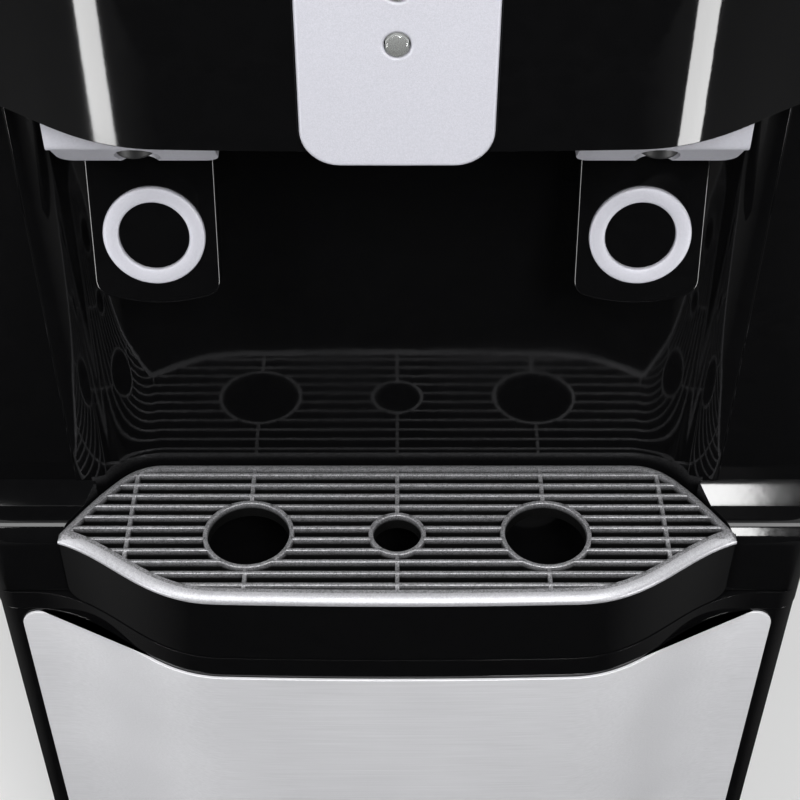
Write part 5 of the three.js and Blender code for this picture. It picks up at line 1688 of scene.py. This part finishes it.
# %% Geometry Nodes for the louvre hoods
def make_louvre_tree():
    tree = new_tree("louvre_hoods", [
        ("Start", "NodeSocketVector", (0, 0, 0)), ("Step", "NodeSocketVector", (0, 0, 0.011)),
        ("Count", "NodeSocketInt", 7), ("Reach", "NodeSocketFloat", 0.004),
        ("Width", "NodeSocketFloat", 0.09), ("Thickness", "NodeSocketFloat", 0.001),
        ("Finish", "NodeSocketMaterial", None),
    ])
    make = tree.nodes.new
    link = tree.links.new
    given = make("NodeGroupInput")
    bend = make("GeometryNodeCurveArc")
    bend.inputs["Resolution"].default_value = 10
    bend.inputs["Sweep Angle"].default_value = math.pi / 2
    stand = make("GeometryNodeTransform")
    stand.inputs["Rotation"].default_value = (math.pi / 2, 0, math.pi / 2)
    strip = make("GeometryNodeCurvePrimitiveQuadrilateral")
    hood_mesh = make("GeometryNodeCurveToMesh")
    hood_mesh.inputs["Fill Caps"].default_value = True
    places = make("GeometryNodeMeshLine")
    copies = make("GeometryNodeInstanceOnPoints")
    real = make("GeometryNodeRealizeInstances")
    paint = make("GeometryNodeSetMaterial")
    out = make("NodeGroupOutput")
    link(given.outputs["Reach"], bend.inputs["Radius"])
    link(bend.outputs["Curve"], stand.inputs["Geometry"])
    link(given.outputs["Width"], strip.inputs["Width"])
    link(given.outputs["Thickness"], strip.inputs["Height"])
    link(stand.outputs["Geometry"], hood_mesh.inputs["Curve"])
    link(strip.outputs["Curve"], hood_mesh.inputs["Profile Curve"])
    link(given.outputs["Count"], places.inputs["Count"])
    link(given.outputs["Start"], places.inputs["Start Location"])
    link(given.outputs["Step"], places.inputs["Offset"])
    link(places.outputs["Mesh"], copies.inputs["Points"])
    link(hood_mesh.outputs["Mesh"], copies.inputs["Instance"])
    link(copies.outputs["Instances"], real.inputs["Geometry"])
    link(real.outputs["Geometry"], paint.inputs["Geometry"])
    link(given.outputs["Finish"], paint.inputs["Material"])
    link(paint.outputs["Geometry"], out.inputs["Geometry"])
    return tree


def outward(obj):
    """Points the faces of a grown mesh outwards."""
    bm = bmesh.new()
    bm.from_mesh(obj.data)
    bmesh.ops.recalc_face_normals(bm, faces=bm.faces)
    bm.to_mesh(obj.data)
    bm.free()
    return obj


louvre_start = (0, plan_y + cabinet_depth - 0.2 * millimetre, louvre_low + 0.8 * millimetre)
hoods = grow("back_panel_louvre_hoods", make_louvre_tree(), {
    "Start": louvre_start, "Step": (0, 0, louvre_pitch), "Count": louvre_count, "Reach": 4.6 * millimetre,
    "Width": louvre_width - 2 * millimetre, "Thickness": 0.9 * millimetre, "Finish": finishes["zinc_sheet"],
})
hand_over(shade(outward(hoods), 40), "cabinet", "zinc_sheet")
print("louvre hoods:", len(hoods.data.polygons), "faces")

# %% [markdown]
# A screw's head is a flattened ball with a cross cut into it, and its lower half is sunk in
# the sheet. The tree makes one head and repeats it along a line. Two thin boxes, turned a
# quarter turn from each other, cut the cross.

# %% Geometry Nodes for the screws
def make_screw_tree():
    tree = new_tree("screw_row", [
        ("Start", "NodeSocketVector", (0, 0, 0)), ("Step", "NodeSocketVector", (0, 0, 0.1)),
        ("Count", "NodeSocketInt", 6), ("Radius", "NodeSocketFloat", 0.0035),
        ("Finish", "NodeSocketMaterial", None),
    ])
    make = tree.nodes.new
    link = tree.links.new
    given = make("NodeGroupInput")
    ball = make("GeometryNodeMeshUVSphere")
    ball.inputs["Segments"].default_value = 28
    ball.inputs["Rings"].default_value = 14
    flat = make("GeometryNodeTransform")
    flat.inputs["Rotation"].default_value = (math.pi / 2, 0, 0)
    flat.inputs["Scale"].default_value = (1, 1, 0.5)
    slot = make("GeometryNodeMeshCube")
    blade = make("ShaderNodeCombineXYZ")
    thin = make("ShaderNodeMath")
    thin.operation = "MULTIPLY"
    thin.inputs[1].default_value = 0.28
    wide = make("ShaderNodeMath")
    wide.operation = "MULTIPLY"
    wide.inputs[1].default_value = 1.15
    lift = make("ShaderNodeCombineXYZ")
    half = make("ShaderNodeMath")
    half.operation = "MULTIPLY"
    half.inputs[1].default_value = 0.5
    first = make("GeometryNodeTransform")
    second = make("GeometryNodeTransform")
    second.inputs["Rotation"].default_value = (0, math.pi / 2, 0)
    head = make("GeometryNodeMeshBoolean")
    head.operation = "DIFFERENCE"
    places = make("GeometryNodeMeshLine")
    copies = make("GeometryNodeInstanceOnPoints")
    real = make("GeometryNodeRealizeInstances")
    paint = make("GeometryNodeSetMaterial")
    out = make("NodeGroupOutput")
    link(given.outputs["Radius"], ball.inputs["Radius"])
    for value in (thin, wide, half):
        link(given.outputs["Radius"], value.inputs[0])
    link(thin.outputs["Value"], blade.inputs["X"])
    link(half.outputs["Value"], blade.inputs["Y"])
    link(wide.outputs["Value"], blade.inputs["Z"])
    link(blade.outputs["Vector"], slot.inputs["Size"])
    link(half.outputs["Value"], lift.inputs["Y"])
    link(slot.outputs["Mesh"], first.inputs["Geometry"])
    link(lift.outputs["Vector"], first.inputs["Translation"])
    link(first.outputs["Geometry"], second.inputs["Geometry"])
    link(ball.outputs["Mesh"], flat.inputs["Geometry"])
    link(flat.outputs["Geometry"], head.inputs["Mesh 1"])
    link(second.outputs["Geometry"], head.inputs["Mesh 2"])
    link(first.outputs["Geometry"], head.inputs["Mesh 2"])
    link(given.outputs["Count"], places.inputs["Count"])
    link(given.outputs["Start"], places.inputs["Start Location"])
    link(given.outputs["Step"], places.inputs["Offset"])
    link(places.outputs["Mesh"], copies.inputs["Points"])
    link(head.outputs["Mesh"], copies.inputs["Instance"])
    link(copies.outputs["Instances"], real.inputs["Geometry"])
    link(real.outputs["Geometry"], paint.inputs["Geometry"])
    link(given.outputs["Finish"], paint.inputs["Material"])
    link(paint.outputs["Geometry"], out.inputs["Geometry"])
    return tree


screw_tree = make_screw_tree()


def grow_screws(name, start, step, count, radius):
    values = {"Start": start, "Step": step, "Count": count, "Radius": radius,
              "Finish": finishes["pin_steel"]}
    return grow(name, screw_tree, values)


panel_low, panel_high = (corner.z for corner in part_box("back_panel"))
screw_inset = 7 * millimetre
screw_side = half_width - sheet_flange - seat - screw_inset
screw_y = plan_y + cabinet_depth
screw_step = (0, 0, (panel_high - panel_low - 4 * screw_inset) / 5)
screws = [grow_screws(f"screws_{way}", (way * screw_side, screw_y, panel_low + 2 * screw_inset),
                      screw_step, 6,
                      3.4 * millimetre) for way in (-1, 1)]
screws.append(grow_screws("screws_top", (-0.09, screw_y, panel_high - screw_inset), (0.06, 0, 0), 4,
                          3.4 * millimetre))
absorb(screws[0], *screws[1:])
screws[0].name = "back_panel_screws"
hand_over(shade(outward(screws[0]), 40), "cabinet", "pin_steel")
print("screws:", len(screws[0].data.polygons), "faces")

# %% [markdown]
# The condenser is one long steel tube, bent to and fro, with wires welded across it on both
# sides. The wires are the same thing as the grille's bars, a section swept along a line and
# repeated, so the grille's tree makes them too, with a rounding that turns the section
# into a circle.

# %% Condenser
def condenser_route():
    y = plan_y + cabinet_depth + condenser_gap
    bend = condenser_pitch / 2
    side = condenser_half - bend
    route = []
    for i in range(condenser_passes):
        z = condenser_low + i * condenser_pitch
        way = 1 if i % 2 == 0 else -1
        route += [Vector((-way * side, y, z)), Vector((0, y, z)), Vector((way * side, y, z))]
        if i + 1 < condenser_passes:
            for k in range(1, 16):
                angle = math.pi * k / 16
                route.append(Vector((way * (side + bend * math.sin(angle)), y,
                                     z + bend - bend * math.cos(angle))))
    return route


def make_condenser():
    grid = tube("condenser", condenser_route(), condenser_radius, 18)
    grid.data.materials.append(finishes["black_enamel"])
    wire = 1.3 * millimetre
    count = 20
    span = condenser_half - condenser_pitch / 2 - 5 * millimetre
    low = condenser_low - condenser_pitch / 4
    high = condenser_low + (condenser_passes - 0.75) * condenser_pitch
    wires = []
    for way in (-1, 1):
        y = plan_y + cabinet_depth + condenser_gap + way * (condenser_radius + 0.2 * millimetre)
        wires.append(grow(f"wires_{way}", bar_tree, {
            "Start": (-span, y, low), "End": (-span, y, high), "Step": (2 * span / (count - 1), 0, 0),
            "Count": count, "Width": wire, "Height": wire, "Rounding": 0.49 * wire,
            "Finish": finishes["black_enamel"],
        }))
    absorb(grid, *wires)
    return show(outward(grid), "condenser_grid", 0, angle=50, cleaned=False)


make_condenser()

# %% [markdown]
# The compressor is a pressed steel pot with a weld round its middle, standing on a plate
# with four rubber bushes. Its profile is a row of Bezier curves, because a pressed pot has
# no straight cone anywhere. The plug of its terminals sits under a small moulded cover.

# %% Compressor
def make_compressor():
    low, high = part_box("compressor")
    middle = (low.y + high.y) / 2 - plan_y
    z = low.z / millimetre
    top = high.z / millimetre
    belt = (z + top) / 2
    profile = [(0, z + 3)] + bezier([(40, z + 3), (57.5, z + 3), (57.5, z + 20)], 8)
    profile += [(57.5, belt - 2.4), (58.2, belt - 2), (58.5, belt), (58.2, belt + 2), (57.5, belt + 2.4)]
    profile += bezier([(57.5, top - 30), (57.5, top - 8), (38, top - 2.5)], 10)
    profile += bezier([(38, top - 2.5), (22, top), (0, top)], 8)[1:]
    pot = turned("pot", scaled(tidy_profile(profile)), 0, middle, 96)
    side, _ = high.x, (high.y - low.y) / 2
    plan = rounded_rectangle(-side, side, middle - 0.048, middle + 0.048, 7 * millimetre)
    plate = prism(plan, low.z, low.z + 3.6 * millimetre)
    shade(plate)
    round_edges(plate, 0.8 * millimetre)
    bake(plate)
    absorb(pot, plate)
    return show(pot, "compressor", 0, angle=40, cleaned=False)


def tidy_profile(profile):
    return [point for i, point in enumerate(profile) if i == 0 or math.dist(point, profile[i - 1]) > 0.05]


def make_bushes():
    low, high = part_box("compressor")
    middle = (low.y + high.y) / 2 - plan_y
    base = low.z / millimetre + 3.6
    rubber_profile = scaled(filleted([(2.6, base), (6.6, base), (6.6, base + 2), (5.4, base + 4.5),
                                      (2.6, base + 4.5)], 0.7))
    bolt_profile = scaled(filleted([(0, base + 2), (2.4, base + 2), (2.4, base + 4.5), (4.4, base + 4.5),
                                    (4.4, base + 7), (0, base + 7)], 0.5))
    bushes, bolts = [], []
    for x in (-0.067, 0.067):
        for y in (middle - 0.041, middle + 0.041):
            bushes.append(turned("bush", rubber_profile, x, y, 48))
            bolts.append(turned("bolt", bolt_profile, x, y, 6 * 8))
    for name, group, slot in (("compressor_bushes", bushes, "rubber"),
                              ("compressor_bolts", bolts, "pin_steel")):
        absorb(group[0], *group[1:])
        group[0].name = name
        hand_over(shade(group[0], 40), "cabinet", slot)


def make_terminal_cover():
    low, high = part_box("compressor")
    middle = (low.y + high.y) / 2 - plan_y
    z = (low.z + high.z) / 2
    cover = slab(0.046, 0.0725, middle - 0.019, middle + 0.019, z - 0.026, z + 0.012,
                 "compressor_terminal_cover")
    shade(cover)
    round_edges(cover, 4 * millimetre, 5)
    bake(cover)
    return hand_over(cover, "cabinet", "satin_black")


make_compressor()
make_bushes()
make_terminal_cover()

# %% [markdown]
# The base: a folded pan that follows the front's plan inside the plinth, with four bosses
# for the compressor, and four rubber feet with a groove. A copper pipe climbs from the
# compressor, passes under the back sheet and meets the condenser's foot.

# %% Base pan, feet and copper pipe
def make_pan():
    low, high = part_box("base_pan")
    back = high.y - plan_y
    inset = door_wall + seat
    thickness = 1.5 * millimetre
    pan = prism(front_plan(back, inset), low.z, high.z)
    cut(pan, prism(front_plan(back - thickness, inset + thickness), low.z + thickness, high.z + overrun))
    place_low, place_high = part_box("compressor")
    middle = (place_low.y + place_high.y) / 2 - plan_y
    for x in (-0.067, 0.067):
        for y in (middle - 0.041, middle + 0.041):
            join(pan, prism(circle(7 * millimetre, x, y, 48), low.z + thickness / 2,
                            low.z + 16 * millimetre))
    return show(pan, "base_pan", 0.25 * millimetre, 2)


def make_foot(node):
    low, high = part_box(node)
    top = high.z / millimetre
    profile = filleted([(0, 0), (15.6, 0), (16.7, 1.4), (16.4, 6), (15.4, 6.6), (15.3, 7.8), (15.9, 8.6),
                        (13.6, top), (0, top)], 0.9)
    foot = turned("foot", scaled(profile), (low.x + high.x) / 2, (low.y + high.y) / 2 - plan_y, 72)
    return show(foot, node, 0, angle=40, cleaned=False)


def make_discharge_pipe():
    low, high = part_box("compressor")
    middle = (low.y + high.y) / 2 / millimetre - plan_y / millimetre
    depth = cabinet_depth / millimetre
    z = 125
    out = depth + 8
    route = smooth_route(in_plan([
        (-61.3, middle, z), (-61.5, middle, z), (-73, middle, z), (-97, middle + 18, z + 6),
        (-118, depth - 18, z + 24),
        (-118, out, 210), (-118, out, 258), (-104.3, out, 279), (-95.3, out, 282), (-90.6, out, 282),
        (-90.2, out, 282),
    ]), 8)
    return show(tube("pipe", route, 3 * millimetre, 20), "discharge_pipe", 0, angle=60, cleaned=False)


make_pan()
for node in ("foot_front_left", "foot_front_right", "foot_rear_left", "foot_rear_right"):
    make_foot(node)
make_discharge_pipe()

# %% [markdown]
# Behind the door is a white storage box, blown or vacuum formed from one sheet, so all its
# inner corners are round. The room is a block with its edges bevelled by six millimetres,
# and that block is cut out of the box. Two rails carry a loose shelf with rounded slots.

# %% Storage box and shelf
liner_sheet = 2 * millimetre
storage_low_corner, storage_high_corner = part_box("storage_liner")
storage_half = storage_high_corner.x
storage_depth = storage_high_corner.y - plan_y
shelf_low_corner, shelf_high_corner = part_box("storage_shelf")


def make_storage_liner():
    front = storage_low_corner.y - plan_y
    low, high = storage_low_corner.z, storage_high_corner.z
    side = storage_half
    box = front_prism(rounded_rectangle(-side, side, low, high, 3 * millimetre), front, storage_depth)
    room = front_prism(rounded_rectangle(-side + liner_sheet, side - liner_sheet, low + liner_sheet,
                                         high - liner_sheet,
                                         7 * millimetre), front - 2 * overrun, storage_depth - liner_sheet)
    shade(room)
    round_edges(room, 5 * millimetre, 5)
    bake(room)
    cut(box, room)
    rail_top = shelf_low_corner.z - seat
    for way in (-1, 1):
        near, far = sorted((way * (side - liner_sheet / 2), way * (side - liner_sheet - 5 * millimetre)))
        join(box, slab(near, far, 4 * millimetre, storage_depth - liner_sheet / 2,
                       rail_top - 5 * millimetre, rail_top))
    return show(box, "storage_liner", 0.5 * millimetre, 2)


def make_shelf():
    low, high = shelf_low_corner, shelf_high_corner
    front, back = low.y - plan_y, high.y - plan_y
    shelf = prism(rounded_rectangle(low.x, high.x, front, back, 5 * millimetre), low.z, high.z)
    for i in range(9):
        x = (i - 4) * 28 * millimetre
        slot = rounded_rectangle(x - 4 * millimetre, x + 4 * millimetre, front + 13 * millimetre,
                                 back - 13 * millimetre, 3.9 * millimetre)
        cut(shelf, prism(slot, low.z - overrun, high.z + overrun))
    return show(shelf, "storage_shelf", 0.8 * millimetre)


make_storage_liner()
make_shelf()

# %% [markdown]
# The door's inside is a white panel with a shallow dish, and a rubber gasket runs round it.
# The gasket is drawn like the grille's rim: one outline, moved inwards step by step while
# it rises and falls, makes the round bulb that is squeezed when the door shuts.

# %% Door's inside
def make_door_inner():
    low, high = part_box("door_inner")
    front, back = low.y - plan_y, high.y - plan_y
    side = high.x
    panel = front_prism(rounded_rectangle(-side, side, low.z, high.z, 4 * millimetre), front, back)
    inset = 13 * millimetre
    dish = front_prism(rounded_rectangle(-side + inset, side - inset, low.z + inset, high.z - inset,
                                         10 * millimetre),
                       back - 1.5 * millimetre, back + overrun)
    cut(panel, dish)
    return show(panel, "door_inner", 0.7 * millimetre, 4)


def make_gasket():
    low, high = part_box("door_gasket")
    front, back = low.y - plan_y, high.y - plan_y
    middle = (front + back) / 2
    half_depth = (back - front) / 2
    rows = [(0.2, 1), (0.5, 1), (1.1, 0.2), (1.6, 0.1)]
    rows += [(5.2 - 3.6 * math.cos(math.pi * i / 10),
              -0.1 - 0.9 * math.sin(math.pi * i / 10)) for i in range(11)]
    rows += [(8.8, 0.2), (9, 1)]
    rings = []
    for inset, share in rows:
        inset *= millimetre
        y = middle - share * half_depth
        plan = rounded_rectangle(low.x + inset, high.x - inset, low.z + inset, high.z - inset,
                                 max(12 * millimetre - inset, 1 * millimetre), 8)
        rings.append([(x, y + plan_y, z) for x, z in plan])
    gasket = loft("gasket", rings + rings[:1], closed_ends=False)
    return show(gasket, "door_gasket", 0, angle=40)


def make_hinge_pin(node):
    low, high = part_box(node)
    pin = prism(circle(hinge_radius, hinge_offset, -hinge_reach, 48), low.z, high.z)
    return show(pin, node, 0.5 * millimetre)


make_door_inner()
make_gasket()
make_hinge_pin("hinge_pin_top")
make_hinge_pin("hinge_pin_bottom")

# %% [markdown]
# The rear fittings. The two rocker keys are dished towards the middle and stand tipped to
# their off side. The drain's cap is a knob with eight soft ribs, made from rings whose
# radius follows a cosine round the axis. The frame and the inlet keep the CAD shapes with
# their edges rounded.

# %% Rear fittings
def make_rocker(node):
    low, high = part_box(node)
    x = (low.x + high.x) / 2
    half = 8.8 * millimetre
    face = 3.7 * millimetre
    depth = 9 * millimetre
    outline = [(-depth, -half / 2)] + bezier([(face, -half), (face - 1.8 * millimetre, 0), (face, half)],
                                             12)
    key = side_prism(outline + [(-depth, half / 2)], x - 6.5 * millimetre, x + 6.5 * millimetre)
    key.data.transform(Matrix.Translation((0, -plan_y, 0)))
    key.data.transform(Matrix.Rotation(math.radians(-10), 4, "X"))
    place = Vector((0, plan_y + cabinet_depth - 2 * millimetre, panel_high - 60 * millimetre))
    key.data.transform(Matrix.Translation(place))
    return show(key, node, 0.7 * millimetre, 4)


def make_drain_cap():
    low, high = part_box("drain_cap")
    x, z = (low.x + high.x) / 2, (low.z + high.z) / 2
    steps = [(0, 0.94), (0.4, 0.99), (1, 1), (11.4, 1), (12.6, 0.97), (13.5, 0.9), (13.9, 0.8), (14, 0.7)]
    rings = []
    for depth, share in steps:
        ring = []
        for i in range(128):
            angle = 2 * math.pi * i / 128
            ridge = max(math.cos(8 * angle), 0) ** 0.6
            radius = (10.4 + 1.6 * ridge) * share * millimetre
            ring.append((x + radius * math.cos(angle), low.y + depth * millimetre,
                         z + radius * math.sin(angle)))
        rings.append(ring)
    return show(loft("cap", rings), "drain_cap", 0, angle=50, cleaned=False)


make_rocker("heating_switch")
make_rocker("cooling_switch")
make_drain_cap()
softened("switch_frame", 0.5 * millimetre)
softened("power_inlet", 0.4 * millimetre)

# %% [markdown]
# What the casing hides gets real shapes too, because the door, the lid or the back sheet
# may be off in another scene. Tanks and foam are turned. The evaporator is a copper tube
# wound round the cold tank, and a spiral is a path that Geometry Nodes have ready.

# %% Tanks and foam
def turned_inside(node, profile, radius, sides=72):
    low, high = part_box(node)
    x = 0 if abs(low.x + high.x) < 4 * millimetre else (low.x + high.x) / 2
    obj = turned(node, scaled(filleted(profile, radius)), x, tank_reach, sides)
    return show(obj, node, 0, angle=40, cleaned=False)


tank_low, tank_high = (corner.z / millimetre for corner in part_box("cold_tank"))
foam_low, foam_high = (corner.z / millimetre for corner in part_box("tank_insulation"))
shoulder = tank_high - 12
turned_inside("cold_tank", [(0, tank_low), (65, tank_low), (65, shoulder), (40, shoulder), (40, tank_high),
                            (38.4, tank_high), (38.4, shoulder - 1.6), (63.4, shoulder - 1.6),
                            (63.4, tank_low + 1.6), (0, tank_low + 1.6)], 3)
turned_inside("tank_insulation", [(0, foam_low), (80, foam_low), (80, foam_high), (70.6, foam_high),
                                  (70.6, tank_low - 0.3), (0, tank_low - 0.3)], 2)


def make_hot_tank():
    low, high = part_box("hot_tank")
    bottom, top = low.z / millimetre, high.z / millimetre
    x = high.x - 0.044
    y = (low.y + high.y) / 2 - plan_y
    shoulder = top - 8
    profile = [(0, bottom), (44, bottom), (44, shoulder), (14, shoulder), (14, top), (0, top)]
    tank = turned("tank", scaled(filleted(profile, 9)), x, y, 72)
    outlet = axle(4.6 * millimetre, low.x, x, y, (shoulder - 22) * millimetre, 32)
    absorb(tank, outlet)
    return show(tank, "hot_tank", 0, angle=40, cleaned=False)


make_hot_tank()
for node in ("tank_shelf", "hot_thermostat", "control_board"):
    softened(node, 0.25 * millimetre)


# %% Geometry Nodes for the evaporator
def make_spiral_tree():
    tree = new_tree("wound_tube", [
        ("Place", "NodeSocketVector", (0, 0, 0)), ("Radius", "NodeSocketFloat", 0.0678),
        ("Height", "NodeSocketFloat", 0.07), ("Turns", "NodeSocketFloat", 10),
        ("Tube Radius", "NodeSocketFloat", 0.0024), ("Finish", "NodeSocketMaterial", None),
    ])
    make = tree.nodes.new
    link = tree.links.new
    given = make("NodeGroupInput")
    path = make("GeometryNodeCurveSpiral")
    path.inputs["Resolution"].default_value = 48
    section = make("GeometryNodeCurvePrimitiveCircle")
    section.inputs["Resolution"].default_value = 12
    wound = make("GeometryNodeCurveToMesh")
    wound.inputs["Fill Caps"].default_value = True
    put = make("GeometryNodeTransform")
    real = make("GeometryNodeRealizeInstances")
    paint = make("GeometryNodeSetMaterial")
    out = make("NodeGroupOutput")
    link(given.outputs["Turns"], path.inputs["Rotations"])
    link(given.outputs["Radius"], path.inputs["Start Radius"])
    link(given.outputs["Radius"], path.inputs["End Radius"])
    link(given.outputs["Height"], path.inputs["Height"])
    link(given.outputs["Tube Radius"], section.inputs["Radius"])
    link(path.outputs["Curve"], wound.inputs["Curve"])
    link(section.outputs["Curve"], wound.inputs["Profile Curve"])
    link(wound.outputs["Mesh"], put.inputs["Geometry"])
    link(given.outputs["Place"], put.inputs["Translation"])
    link(put.outputs["Geometry"], real.inputs["Geometry"])
    link(real.outputs["Geometry"], paint.inputs["Geometry"])
    link(given.outputs["Finish"], paint.inputs["Material"])
    link(paint.outputs["Geometry"], out.inputs["Geometry"])
    return tree


coil_low, coil_high = (corner.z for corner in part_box("evaporator_coil"))
tube_radius = 2.4 * millimetre
coil = grow("coil", make_spiral_tree(), {
    "Place": (0, plan_y + tank_reach, coil_low + tube_radius), "Radius": 67.8 * millimetre,
    "Height": coil_high - coil_low - 2 * tube_radius, "Turns": 12.0, "Tube Radius": tube_radius,
    "Finish": finishes["copper"],
})
show(outward(coil), "evaporator_coil", 0, angle=60, cleaned=False)


# %% [markdown]
# The studio. The floor is pale and the world is white to the camera and to reflections, as
# a white sweep would be, and dim to everything else. A polished black machine would mirror
# all that white, so it is photographed with black cards: one lies on the floor in front,
# where the upright faces look, and one hangs behind the camera, where the rounded shoulders
# look. The cards only show in reflections. Between them stand the softboxes, and what the
# coves and bevels catch of those and of the pale floor beside the card draws the edges.
# Far from the machine the floor turns to the white of the sweep, for the camera alone.

# %% Floor, cards and world
sweep_near = 0.7
sweep_far = 2.2


def make_floor_finish():
    material, shader = start_finish("floor", (0.86, 0.86, 0.86), 0.6)
    cloud = add_noise(material, 3, 4)
    join_to(material, add_colours(material, cloud, (0.84, 0.84, 0.84), (0.88, 0.88, 0.88)), shader,
            "Base Color")
    join_to(material, add_range(material, cloud, 0.55, 0.7), shader, "Roughness")
    shader.inputs["Specular IOR Level"].default_value = 0.2
    tree = material.node_tree
    far = tree.nodes.new("ShaderNodeVectorMath")
    far.operation = "LENGTH"
    path = tree.nodes.new("ShaderNodeLightPath")
    seen = tree.nodes.new("ShaderNodeMath")
    seen.operation = "MULTIPLY"
    glow = tree.nodes.new("ShaderNodeEmission")
    blend = tree.nodes.new("ShaderNodeMixShader")
    tree.links.new(place_map(material), far.inputs[0])
    tree.links.new(add_range(material, far.outputs["Value"], 0, 1, sweep_near, sweep_far), seen.inputs[0])
    tree.links.new(path.outputs["Is Camera Ray"], seen.inputs[1])
    tree.links.new(seen.outputs["Value"], blend.inputs["Fac"])
    tree.links.new(shader.outputs["BSDF"], blend.inputs[1])
    tree.links.new(glow.outputs["Emission"], blend.inputs[2])
    tree.links.new(blend.outputs["Shader"], tree.nodes["Material Output"].inputs["Surface"])
    return material


def make_card_finish(name, edge, near, far):
    """Black cloth that turns to a grey between two distances from the middle."""
    material, shader = start_finish(name, (0.004, 0.004, 0.004), 0.9)
    tree = material.node_tree
    parts = tree.nodes.new("ShaderNodeSeparateXYZ")
    side = tree.nodes.new("ShaderNodeMath")
    side.operation = "ABSOLUTE"
    tree.links.new(place_map(material), parts.inputs["Vector"])
    tree.links.new(parts.outputs["X"], side.inputs[0])
    share = add_range(material, side.outputs["Value"], 0, 1, near, far)
    join_to(material, add_colours(material, share, (0.004, 0.004, 0.004), edge), shader, "Base Color")
    cloth = add_noise(material, 300, 2)
    join_to(material, add_range(material, cloth, 0.85, 0.95), shader, "Roughness")
    shader.inputs["Specular IOR Level"].default_value = 0.0
    return material


def stage_sheet(name, corners, material):
    bm = bmesh.new()
    bm.faces.new([bm.verts.new(corner) for corner in corners])
    mesh = bpy.data.meshes.new(name)
    bm.to_mesh(mesh)
    bm.free()
    obj = bpy.data.objects.new(name, mesh)
    scene.collection.objects.link(obj)
    obj.data.materials.append(material)
    return obj


def hang_card(name, corners, finish):
    card = stage_sheet(name, corners, finish)
    card.visible_camera = False
    card.visible_diffuse = False
    card.visible_shadow = False
    card.visible_transmission = False
    return card


floor_reach = 6
stage_sheet("floor", [(-floor_reach, -floor_reach, 0), (floor_reach, -floor_reach, 0),
                      (floor_reach, floor_reach, 0), (-floor_reach, floor_reach, 0)], make_floor_finish())
card_lift = 0.004
hang_card("floor_card", [(-5, -5.8, card_lift), (5, -5.8, card_lift), (5, 3, card_lift),
                         (-5, 3, card_lift)],
          make_card_finish("floor_cloth", (0.16, 0.16, 0.16), 0.4, 0.9))
hang_card("rear_card", [(-3, -1.6, 0.01), (3, -1.6, 0.01), (3, -1.1, 3.0), (-3, -1.1, 3.0)],
          make_card_finish("rear_cloth", (0.004, 0.004, 0.004), 1, 2))

world = bpy.data.worlds.new("studio")
world.use_nodes = True
scene.world = world
sky = world.node_tree
background = sky.nodes["Background"]
paths = sky.nodes.new("ShaderNodeLightPath")
direct = sky.nodes.new("ShaderNodeMath")
direct.operation = "MAXIMUM"
shown = sky.nodes.new("ShaderNodeMath")
shown.operation = "MAXIMUM"
level = sky.nodes.new("ShaderNodeMapRange")
world_fill = 0.35
level.inputs["To Min"].default_value = world_fill
level.inputs["To Max"].default_value = 1
sky.links.new(paths.outputs["Is Camera Ray"], direct.inputs[0])
sky.links.new(paths.outputs["Is Glossy Ray"], direct.inputs[1])
sky.links.new(direct.outputs["Value"], shown.inputs[0])
sky.links.new(paths.outputs["Is Transmission Ray"], shown.inputs[1])
sky.links.new(shown.outputs["Value"], level.inputs["Value"])
sky.links.new(level.outputs["Result"], background.inputs["Strength"])
background.inputs["Color"].default_value = (1, 1, 1, 1)
print("studio ready")

# %% [markdown]
# Three softboxes and two strips. The right box is the key: it stands above and behind the camera, and the
# right cove mirrors it as a broad white patch. The left one stands further out, so the left
# cove only catches its edge. The large one overhead gives the grille its even light. The tall
# strips at the sides show in polished surfaces alone, and draw the thin lines down the levers.
# A lamp that is seen by way of two mirrors fades, so that black stays black in black.

# %% Softboxes
echo = 0.05
echo_depth = 2


def add_softbox(name, place, target, width, height, power):
    data = bpy.data.lights.new(name, "AREA")
    data.shape = "RECTANGLE"
    data.size = width
    data.size_y = height
    data.energy = power
    data.use_nodes = True
    nodes = data.node_tree.nodes
    path = nodes.new("ShaderNodeLightPath")
    fade = nodes.new("ShaderNodeMapRange")
    fade.inputs["From Min"].default_value = echo_depth
    fade.inputs["From Max"].default_value = echo_depth + 1
    fade.inputs["To Min"].default_value = 1
    fade.inputs["To Max"].default_value = echo
    data.node_tree.links.new(path.outputs["Ray Depth"], fade.inputs["Value"])
    data.node_tree.links.new(fade.outputs["Result"], nodes["Emission"].inputs["Strength"])
    lamp = bpy.data.objects.new(name, data)
    lamp.location = place
    aim = Vector(target) - Vector(place)
    lamp.rotation_euler = aim.to_track_quat("-Z", "Y").to_euler()
    scene.collection.objects.link(lamp)
    return lamp


def add_edge_light(name, place, target, width, height, power):
    """A tall strip that only shows in polished surfaces."""
    lamp = add_softbox(name, place, target, width, height, power)
    lamp.visible_diffuse = False
    lamp.visible_transmission = False


aim_point = (0, -0.1, 0.65)
add_softbox("right_box", (0.285, -1.0, 1.56), (0.285, -0.1, 0.65), 0.31, 0.42, 13)
add_softbox("left_box", (-0.86, -1.0, 1.75), (-0.3, -0.1, 0.65), 0.5, 0.6, 12)
add_edge_light("right_strip", (0.95, -0.9, 0.42), (0.1, -0.05, 0.7), 0.3, 0.6, 10)
add_edge_light("left_strip", (-0.95, -0.9, 0.42), (-0.1, -0.05, 0.7), 0.3, 0.6, 10)
add_softbox("top_box", (0, -0.5, 2.3), aim_point, 1.4, 0.8, 23)
scene.view_settings.view_transform = "Standard"
